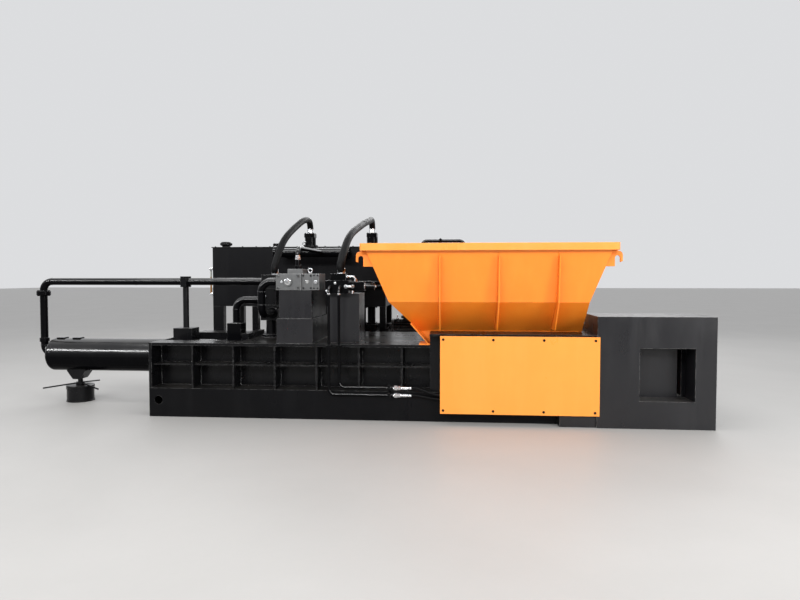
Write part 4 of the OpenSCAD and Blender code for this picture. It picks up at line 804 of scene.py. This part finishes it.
def pressure_extra(kit):
    kit.box((60, 100), (1085, 1230), (1948, 1969), 2)
    for y in LOOP_Y:
        kit.box((62, 98), (y - 30, y + 30), (LOOP_Z, 2016), 2)
        kit.hexagon((80, y - 22, 2016), UP, 13, 8)
        kit.hexagon((80, y + 22, 2016), UP, 13, 8)
    for y in SIDE_PORT_Y:
        kit.nut((SIDE_X, y, PORT_Z), UP, 28, 34)
    for x in PRESSURE_X:
        loose_flange(kit, (x, 1228, UNIT_Z), BACK, 52, 24, 17, 78)


fine_pipe("pressure_pipes", pressure_runs(), "gloss", pressure_extra)


def suction_extra(kit):
    for x in SUCTION_X:
        for z, middle in ((850, 862), (1088, 1096)):
            kit.disc((x, UNIT_Y, z), UP, 20, 85, 2)
            flange_bolts(kit, (x, UNIT_Y, middle), UP, 6, 142, 19, 18)
        weld_ring(kit, (x, UNIT_Y, 870), UP, 55)
        weld_ring(kit, (x, UNIT_Y, 1088), DOWN, 55)


fine_pipe("suction_pipes", [
    ([(x, UNIT_Y, 850), (x, UNIT_Y, 1108)], 55, 0) for x in SUCTION_X], "gloss", suction_extra)


def header_extra(kit):
    x0, x1 = HEADER_X
    kit.disc((x0 - 30, HEADER_Y, HEADER_Z), RIGHT, 15, 85, 3)
    kit.disc((x0 - 14, HEADER_Y, HEADER_Z), RIGHT, 14, 85, 3)
    flange_bolts(kit, (x0 - 15, HEADER_Y, HEADER_Z), RIGHT, 8, 142, 19, 26)
    kit.disc((x1 - 24, HEADER_Y, HEADER_Z), RIGHT, 24, 79, 3)
    for x in RETURN_X:
        kit.disc((x, 1014, HEADER_Z), BACK, 24, 70, 2)
        flange_bolts(kit, (x, 1026, HEADER_Z), BACK, 6, 116, 17, 22)
        weld_ring(kit, (x, 1014, HEADER_Z), FRONT, PIPE_R)
    kit.disc((RISER_X, RISER_Y, 1590), UP, 40, 38, 2)
    for u, v in SQUARE:
        kit.socket((RISER_X + 24 * u, RISER_Y + 24 * v, 1590), UP, 8, 40)


fine_pipe("return_header",
          [([(x, HEADER_Y, HEADER_Z) for x in HEADER_X], 59, 0)] +
          [([(x, 760, HEADER_Z), (x, 1050, HEADER_Z)], PIPE_R, 0) for x in RETURN_X] +
          [([(RISER_X, RISER_Y, 1590), (RISER_X, RISER_Y, HEADER_Z), (RISER_X, 740, HEADER_Z)], 24, 80)],
          "gloss", header_extra)

# Hoses and fittings

HOSES = (
    ("gate_hoses", 12.8, 44, (
        [(-232, -780, 275), (-130, -780, 275), (60, -782, 245), (260, -800, 240), (410, -795, 290),
         (440, -735, 350), (440, -700, 405), (440, -700, 451.5)],
        [(-232, -780, 352), (-130, -780, 352), (60, -822, 300), (300, -835, 275), (700, -835, 262),
         (1100, -830, 270), (1296, -800, 300), (1336, -740, 350), (1336, -700, 405), (1336, -700, 451.5)])),
    ("return_hoses", 41.5, 60, (
        [(-1860, 40, 1530), (-1860, 40, 1660), (-1820, 330, 1975), (-1740, 850, 2230), (-1712, 1120, 2270),
         (-1708, 1210, 2190), (-1708, 1210, 2100)],
        [(-960, -560, 1540), (-960, -560, 1670), (-930, -200, 1960), (-880, 400, 2140), (-855, 850, 2230),
         (-850, 1120, 2270), (-850, 1210, 2190), (-850, 1210, 2100)])))
ferrules = Kit()
for name, r, length, routes in HOSES:
    kit = Kit()
    for line in (curve(points, 12) for points in routes):
        kit.tube(line, r, 28)
        for here, there in ((line[0], line[1]), (line[-1], line[-2])):
            ferrules.lathe(here, there - here, [
                (0, r + 2.5), (3, r + 4), (8, r + 4), (10, r + 1.5), (13, r + 1.5), (15, r + 3.5),
                (length - 18, r + 3.5), (length - 14, r + 1.2), (length - 10, r + 3.2), (length - 2, r + 3),
                (length, r + 0.6)], 32)
    kit.done(name + "_fine", "frame", "rubber", [name])
ferrules.done("hose_ferrules", "frame", "zinc")


def fittings(kit):
    for x, z in LINES:
        kit.lathe((-380, LINE_Y, z), RIGHT, [(0, 16), (12, 16), (12, 15), (148, 15)], 24)
        kit.lathe((-368, LINE_Y, z), RIGHT, [(0, 24), (2, 26.4), (34, 26.4), (36, 24)], 6)
        kit.lathe((-326, LINE_Y, z), RIGHT, [(0, 21), (1.5, 23), (20, 23), (21.5, 21)], 6)
        kit.lathe((-302, LINE_Y, z), RIGHT, [(0, 18), (2, 19), (14, 19), (16, 17), (20, 17), (22, 19), (34, 19),
                                             (36, 17), (40, 17), (42, 19), (66, 19), (69, 17)], 28)
        kit.disc((x, LINE_Y, 1318), UP, 19, 18, 2, 6)
    for p, d in (((-820, -660, 1405), FRONT), ((-886, -700, 1405), FRONT), ((-800, -590, 1450), UP)):
        kit.disc(p, d, 19, 22, 2, 6)
        kit.lathe(Vector(p) + Vector(d) * 20, d, [(0, 16), (1, 17), (13, 17), (15, 15)], 6)


fine_pipe("line_fittings", [
    ([(-820, -660, 1405), (-820, -745, 1405), (-886, -745, 1405), (-886, -700, 1405)], 13, 26),
    ([(-800, -590, 1450), (-800, -590, 1510), (-900, -590, 1510)], 12, 40)], "zinc", fittings)

# Cover and tank

LID_Z, BREATHER = 1916, (-2915, 1250)
FILTER_X, FILTER_Y = (-1708, -850), 1210

kit = Kit()
for i in range(4):
    for z in (153, 873):
        kit.hexagon((139 + i * 502, -900, z), FRONT, 21, 6.8, 0.3 * i + z)
kit.done("cover_bolts_fine", "frame", "black", ["cover_bolts"])

kit = Kit()
x, y = BREATHER
kit.lathe((x, y, LID_Z), UP, [(0, 70), (5, 70), (5, 56), (22, 56), (34, 78), (38, 80), (58, 80), (64, 77),
                              (78, 64), (80, 58)], 48)
for a in (TURN * k / 6 for k in range(6)):
    kit.socket((x + 63 * math.cos(a), y + 63 * math.sin(a), LID_Z + 5), UP, 4.5, 5)
for a in (TURN * k / 24 for k in range(24)):
    rib = (x + 80 * math.cos(a), y + 80 * math.sin(a))
    kit.tube([(*rib, 1952), (*rib, 1976)], 3, 8)
kit.done("breather_cap_fine", "frame", "black", ["breather_cap"])

# Screws of the tank's lid and the filters, then the level gauge
kit = Kit()
for x in range(-2990, -690, 190):
    for y in (1049, 1939):
        kit.hexagon((x, y, LID_Z), UP, 16, 9, x * 0.1)
for y in (1200, 1400, 1600, 1800):
    for x in (-3034, -661):
        kit.hexagon((x, y, LID_Z), UP, 16, 9, y * 0.1)
for x in FILTER_X:
    for u, v in ring_points(6, 180):
        kit.hexagon((x + u, FILTER_Y + v, LID_Z + 22), UP, 17, 10)
    for u, v in SQUARE:
        kit.socket((x + 55 * u, FILTER_Y + 55 * v, 2100), UP, 9, 9)
kit.done("tank_bolts", "frame", "black")

kit = Kit()
kit.tube([(-3083, 1110, 1285), (-3083, 1110, 1585)], 12.5, 20)
kit.done("sight_tube", "frame", "glass")
kit = Kit()
for z in (1250, 1600):
    kit.box((-3100, -3039), (1090, 1130), (z, z + 30), 2.5)
    kit.hexagon((-3050, 1110, z + 30), UP, 17, 8)
kit.done("sight_blocks", "frame", "zinc")

# Main manifold: screws, plugs and lifting ring

kit = Kit()
for xs, y, zs, r, height in (((-1612, -1395), -709, (1392, 1515), 12.5, 15),
                             ((-1345, -1265), -679, (1388, 1519), 9, 9),
                             ((-1228, -1190), -694, (1385, 1522), 8, 8)):
    for x in xs:
        for z in zs:
            kit.socket((x, y, z), FRONT, r, height)
for x in (-1512, -1380):
    for y in (-622, -458):
        kit.socket((x, y, 1589), UP, 9, 9)
kit.done("manifold_screws", "frame", "black")

kit = Kit()
kit.lathe((-1503, -731, MANIFOLD_Z), FRONT, [(0, 30), (2, 33), (5, 33), (7, 30)], 40)
kit.lathe((-1503, -737, MANIFOLD_Z), FRONT, [(0, 17), (1.5, 19), (9, 19), (11, 17)], 6)
for x, y, r in ((-1305, -680, 15), (-1209, -709, 17), (-1575, -710, 11)):
    kit.lathe((x, y, MANIFOLD_Z), FRONT, [(0, r), (1, r + 1.5), (4, r + 1.5), (5, r),
                                    (5, r * 0.62), (1, r * 0.6)], 28)
kit.tube([(-1300 + 22 * math.cos(a), -560, 1574 + 22 * math.sin(a))
          for a in (TURN * k / 40 - 1.2 for k in range(39))], 6.4, 14)
kit.lathe((-1300, -560, 1540), UP, [(0, 17), (3, 18), (10, 18), (15, 12)], 24)
kit.done("manifold_plugs", "frame", "zinc")

# Welds between plates

RIB_X = (-2562, -2110, -1658, -1206, -754, -302)
END_X, WEB_Y, RIB_Y = -2998, 520, 735
SILL_Z, ROOF_Z, MID_Z, DECK_Z = 310, 770, (553, 567), 800
RIB_T = 8           # half the thickness of a rib

kit = Kit()
stops = (END_X, *RIB_X, 0)
for side in (-1, 1):
    out = (0, side, 0)
    web, rib = side * WEB_Y, side * RIB_Y
    for i, (x0, x1) in enumerate(zip(stops, stops[1:])):
        a, b = x0 + (RIB_T if i else 0) + 5, x1 - (RIB_T if x1 else 0) - 5
        kit.bead((a, web, SILL_Z), (b, web, SILL_Z), out, UP, 8, 12, i)
        kit.bead((a, web, ROOF_Z), (b, web, ROOF_Z), out, DOWN, 7, 12, i + 20)
        for z, way in zip(MID_Z, (-1, 1)):
            kit.bead((a, web, z), (b, web, z), out, (0, 0, way), 5, 12, i + 40)
    for i, x in enumerate(RIB_X):
        for way in (-1, 1):
            edge = x + RIB_T * way
            kit.bead((edge, web, SILL_Z), (edge, rib, SILL_Z), (way, 0, 0), UP, 7, 12, i)
            kit.bead((edge, web, ROOF_Z), (edge, rib, ROOF_Z), (way, 0, 0), DOWN, 6, 12, i + 9)
            kit.bead((edge, web, SILL_Z), (edge, web, ROOF_Z), (way, 0, 0), out, 6, 12, i + 30)
    kit.bead((END_X, web, SILL_Z), (END_X, web, ROOF_Z), RIGHT, out, 8, 12, 3)
    kit.bead((END_X, web, SILL_Z), (END_X, rib, SILL_Z), RIGHT, UP, 8, 12, 5)
    kit.bead((0, web, SILL_Z), (0, web, ROOF_Z), LEFT, out, 8, 12, 4)
stand_feet = ((-1625, -1240, -730, 70, DECK_Z), (-1605, -1256, -700, 50, 1063), (-1100, -760, -600, -200, DECK_Z))
for x0, x1, y0, y1, z in stand_feet:
    kit.bead((x0, y0, z), (x1, y0, z), FRONT, UP, 5, 10, x0)
    kit.bead((x0, y1, z), (x1, y1, z), BACK, UP, 5, 10, x1)
    kit.bead((x0, y0, z), (x0, y1, z), LEFT, UP, 5, 10, y0)
    kit.bead((x1, y0, z), (x1, y1, z), RIGHT, UP, 5, 10, y1)
weld_ring(kit, (JUNCTION_X, 0, DECK_Z + 30), UP, 60)
weld_ring(kit, (JUNCTION_X, 0, DECK_Z), UP, 110, 6)
weld_ring(kit, (-2944, 0, 900), UP, 34)
kit.done("plate_welds", "frame", "weld")

kit = Kit()
for side in (-1, 1):
    kit.bead((8, side * 500, 927), (1585, side * 500, 927), (0, side, 0.25), UP, 6, 10, 7)
    for x in (97, 682, 1267):
        for way in (-1, 1):
            at = x + 7 * way
            kit.bead((at, side * 850, 1250), (at, side * 968, 1752),
                     (way, 0, 0), (0, side * 0.97, -0.23), 4, 10, x)
            kit.bead((at, side * 508, 935), (at, side * 846, 1244),
                     (way, 0, 0), (0, side * 0.68, -0.74), 4, 10, x + 2)
kit.done("hopper_welds", "frame", "orange_weld")

# Power units

SHIELD, BELL, PUMP_END = 650, 810, 1110     # distances from the motor's free end


def trim_unit(start, way):
    """Bolts, terminal box lid, cable glands, lifting eye and end plug of one motor with its pump."""
    axis = (way, 0, 0)

    def at(u, v=0.0, w=0.0):
        return Vector((start + way * u, UNIT_Y + v, UNIT_Z + w))

    for u, n, pcd, across in ((SHIELD, 8, 352, 16), (BELL + 40, 6, 232, 14)):
        for v, w in ring_points(n, pcd):
            black_kit.hexagon(at(u, v, w), axis, across, across * 0.6)
    for v, w in ring_points(8, 160):
        black_kit.socket(at(PUMP_END, v, w), axis, 8, 8)
    x0, x1 = sorted((at(306).x, at(494).x))
    black_kit.box((x0, x1), (UNIT_Y - 84, UNIT_Y + 84), (990, 997), 2)
    for x in (x0 + 14, x1 - 14):
        for v in (-70, 70):
            zinc_kit.socket((x, UNIT_Y + v, 997), UP, 6, 5)
    for v in (-34, 34):
        black_kit.lathe((x0, UNIT_Y + v, 955), LEFT, [(0, 22), (10, 22), (10, 18), (26, 18), (28, 13)], 24)
    zinc_kit.disc(at(575, 0, 184), UP, 14, 20, 2)
    zinc_kit.tube([at(575, 22 * math.cos(a), 220 + 22 * math.sin(a))
                   for a in (TURN * k / 36 - 1.2 for k in range(35))], 6, 12)
    zinc_kit.nut(at(PUMP_END), axis, 16, 18)


black_kit, zinc_kit = Kit(), Kit()
trim_unit(-2330, 1)
trim_unit(60, -1)
black_kit.done("unit_fasteners", "frame", "black")
zinc_kit.done("unit_eyes", "frame", "zinc")

# Small valve parts

kit = Kit()
kit.lathe((-830, -640, 1360), DOWN, [(0, 18), (3, 20), (14, 20), (16, 18), (16, 13), (30, 13), (32, 11)], 28)
kit.disc((-708, -590, 1405), RIGHT, 14, 39, 2)
kit.lathe((-596, -590, 1405), RIGHT, [(0, 17), (2, 18), (10, 18), (12, 14), (18, 14), (20, 12)], 24)
kit.lathe((RISER_X, RISER_Y, 1690), UP, [(0, 30), (2, 33), (30, 33), (32, 30), (32, 28), (52, 28)], 6)
kit.lathe((-1000, -700, 1440), FRONT, [(0, 15), (6, 15), (6, 11), (16, 11), (17, 9)], 6)
kit.lathe((-1090, -700, 1358), FRONT, [(0, 12), (9, 12), (10, 10)], 6)
kit.nut((-880, -640, 1500), UP, 10, 13)
kit.lathe((-1950, -80, 1275), FRONT, [(0, 18), (2, 20), (12, 20), (14, 18), (22, 15), (24, 13)], 28)
kit.nut((-1965, -116, 1100), FRONT, 10, 14)
kit.tube(arcs([(-1790, 1120, 1926), (-1790, 1120, 1985), (-1745, 1120, 1985)], 22, 8), 10, 20)
kit.disc((-1790, 1120, LID_Z), UP, 20, 17, 2)
for x in (-2210, -2150):
    kit.hexagon((x, 1170, 1966), UP, 14, 8)
kit.done("valve_trim", "frame", "zinc")

kit = Kit()
kit.disc((-1965, -100, 1100), FRONT, 16, 34, 3)
for u, v in SQUARE:
    kit.socket((-940 + 60 * u, -570 + 50 * v, 1539), UP, 8, 8)
    kit.socket((-985 + 110 * u, -699, 1400 + 55 * v), FRONT, 8, 8)
    kit.socket((-780 + 66 * u, -590 + 55 * v, 1450), UP, 6, 6)
    kit.socket((JUNCTION_X + 74 * u, 74 * v, 1529), UP, 8, 8)
    kit.socket((JUNCTION_X + 66 * u, -80, 1275 + 70 * v), FRONT, 8, 8)
kit.box((-845, -715), (-657, -523), (1449, 1458), 2)
kit.box((-690, -630), (-603, -577), (1438, 1462), 3)
kit.done("valve_caps", "frame", "gloss")

# Floor and light

def floor_material():
    """A plain grey studio floor."""
    t = Tree("studio_floor")
    cloud = t.noise(0.7, 6, 0.6, 0.3)
    grain = t.noise(24, 5, 0.7)
    tone = t.mix(cloud, (0.36, 0.353, 0.342), (0.43, 0.422, 0.41))
    tone = t.mix(t.times(grain, 0.12), tone, (0.29, 0.283, 0.272))
    return t.set(Base_Color=tone, Roughness=0.55, Normal=t.bump(grain, 0.05, 0.002))


me = bpy.data.meshes.new("floor")
me.from_pydata([(-60, -40, 0), (60, -40, 0), (60, 80, 0), (-60, 80, 0)], [], [(0, 1, 2, 3)])
floor = bpy.data.objects.new("floor", me)
floor.location.z = -0.0005
me.materials.append(floor_material())
scene.collection.objects.link(floor)

world = bpy.data.worlds.new("studio")
world.use_nodes = True
scene.world = world
wt = world.node_tree
background = wt.nodes["Background"]


def world_node(kind, *inputs, **settings):
    """A node of the world; an input is a value, a socket to link, or None."""
    n = wt.nodes.new(kind)
    for key, value in settings.items():
        setattr(n, key, value)
    for i, value in enumerate(inputs):
        if value is None:
            continue
        if isinstance(value, bpy.types.NodeSocket):
            wt.links.new(value, n.inputs[i])
        else:
            n.inputs[i].default_value = value
    return n


# The world gets brighter towards the rear and the top; the camera itself sees an even backdrop
direction = world_node("ShaderNodeSeparateXYZ", world_node("ShaderNodeTexCoord").outputs["Generated"])
rear = world_node("ShaderNodeMapRange", direction.outputs[1], -0.25, 0.45, 0.26, 0.92,
                  interpolation_type="SMOOTHSTEP")
high = world_node("ShaderNodeMapRange", direction.outputs[2], 0.25, 0.8, 0.0, 0.30,
                  interpolation_type="SMOOTHSTEP")
total = world_node("ShaderNodeMath", rear.outputs[0], high.outputs[0], operation="ADD")
seen = world_node("ShaderNodeLightPath").outputs["Is Camera Ray"]
level = world_node("ShaderNodeMix", seen, None, total.outputs[0], BACKDROP)
wt.links.new(level.outputs[0], background.inputs[1])
background.inputs[0].default_value = (0.97, 0.98, 1.0, 1)


def area(name, at, target, size, power):
    """A rectangular light aimed at a point; size in metres, power in watts."""
    data = bpy.data.lights.new(name, "AREA")
    data.shape = "RECTANGLE"
    data.size, data.size_y = size
    data.energy = power
    obj = bpy.data.objects.new(name, data)
    obj.location = at
    obj.rotation_euler = (Vector(target) - Vector(at)).to_track_quat("-Z", "Y").to_euler()
    scene.collection.objects.link(obj)


area("key", (-3.2, -7.6, 4.5), (-0.6, 0, 0.7), (16, 0.30), 700)
area("front_fill", (2.4, -9.0, 6.5), (1.0, 0, 0.8), (9, 3.0), 270)
area("right_fill", (5.6, -4.9, 2.5), (2.8, -1.0, 0.7), (1.6, 1.9), 175)
area("top_strip", (-1.2, -1.3, 5.4), (-1.2, 1.2, 1.4), (9, 0.6), 120)
area("rear", (0, 7.5, 5.5), (0, 0, 0.8), (12, 2.0), 350)
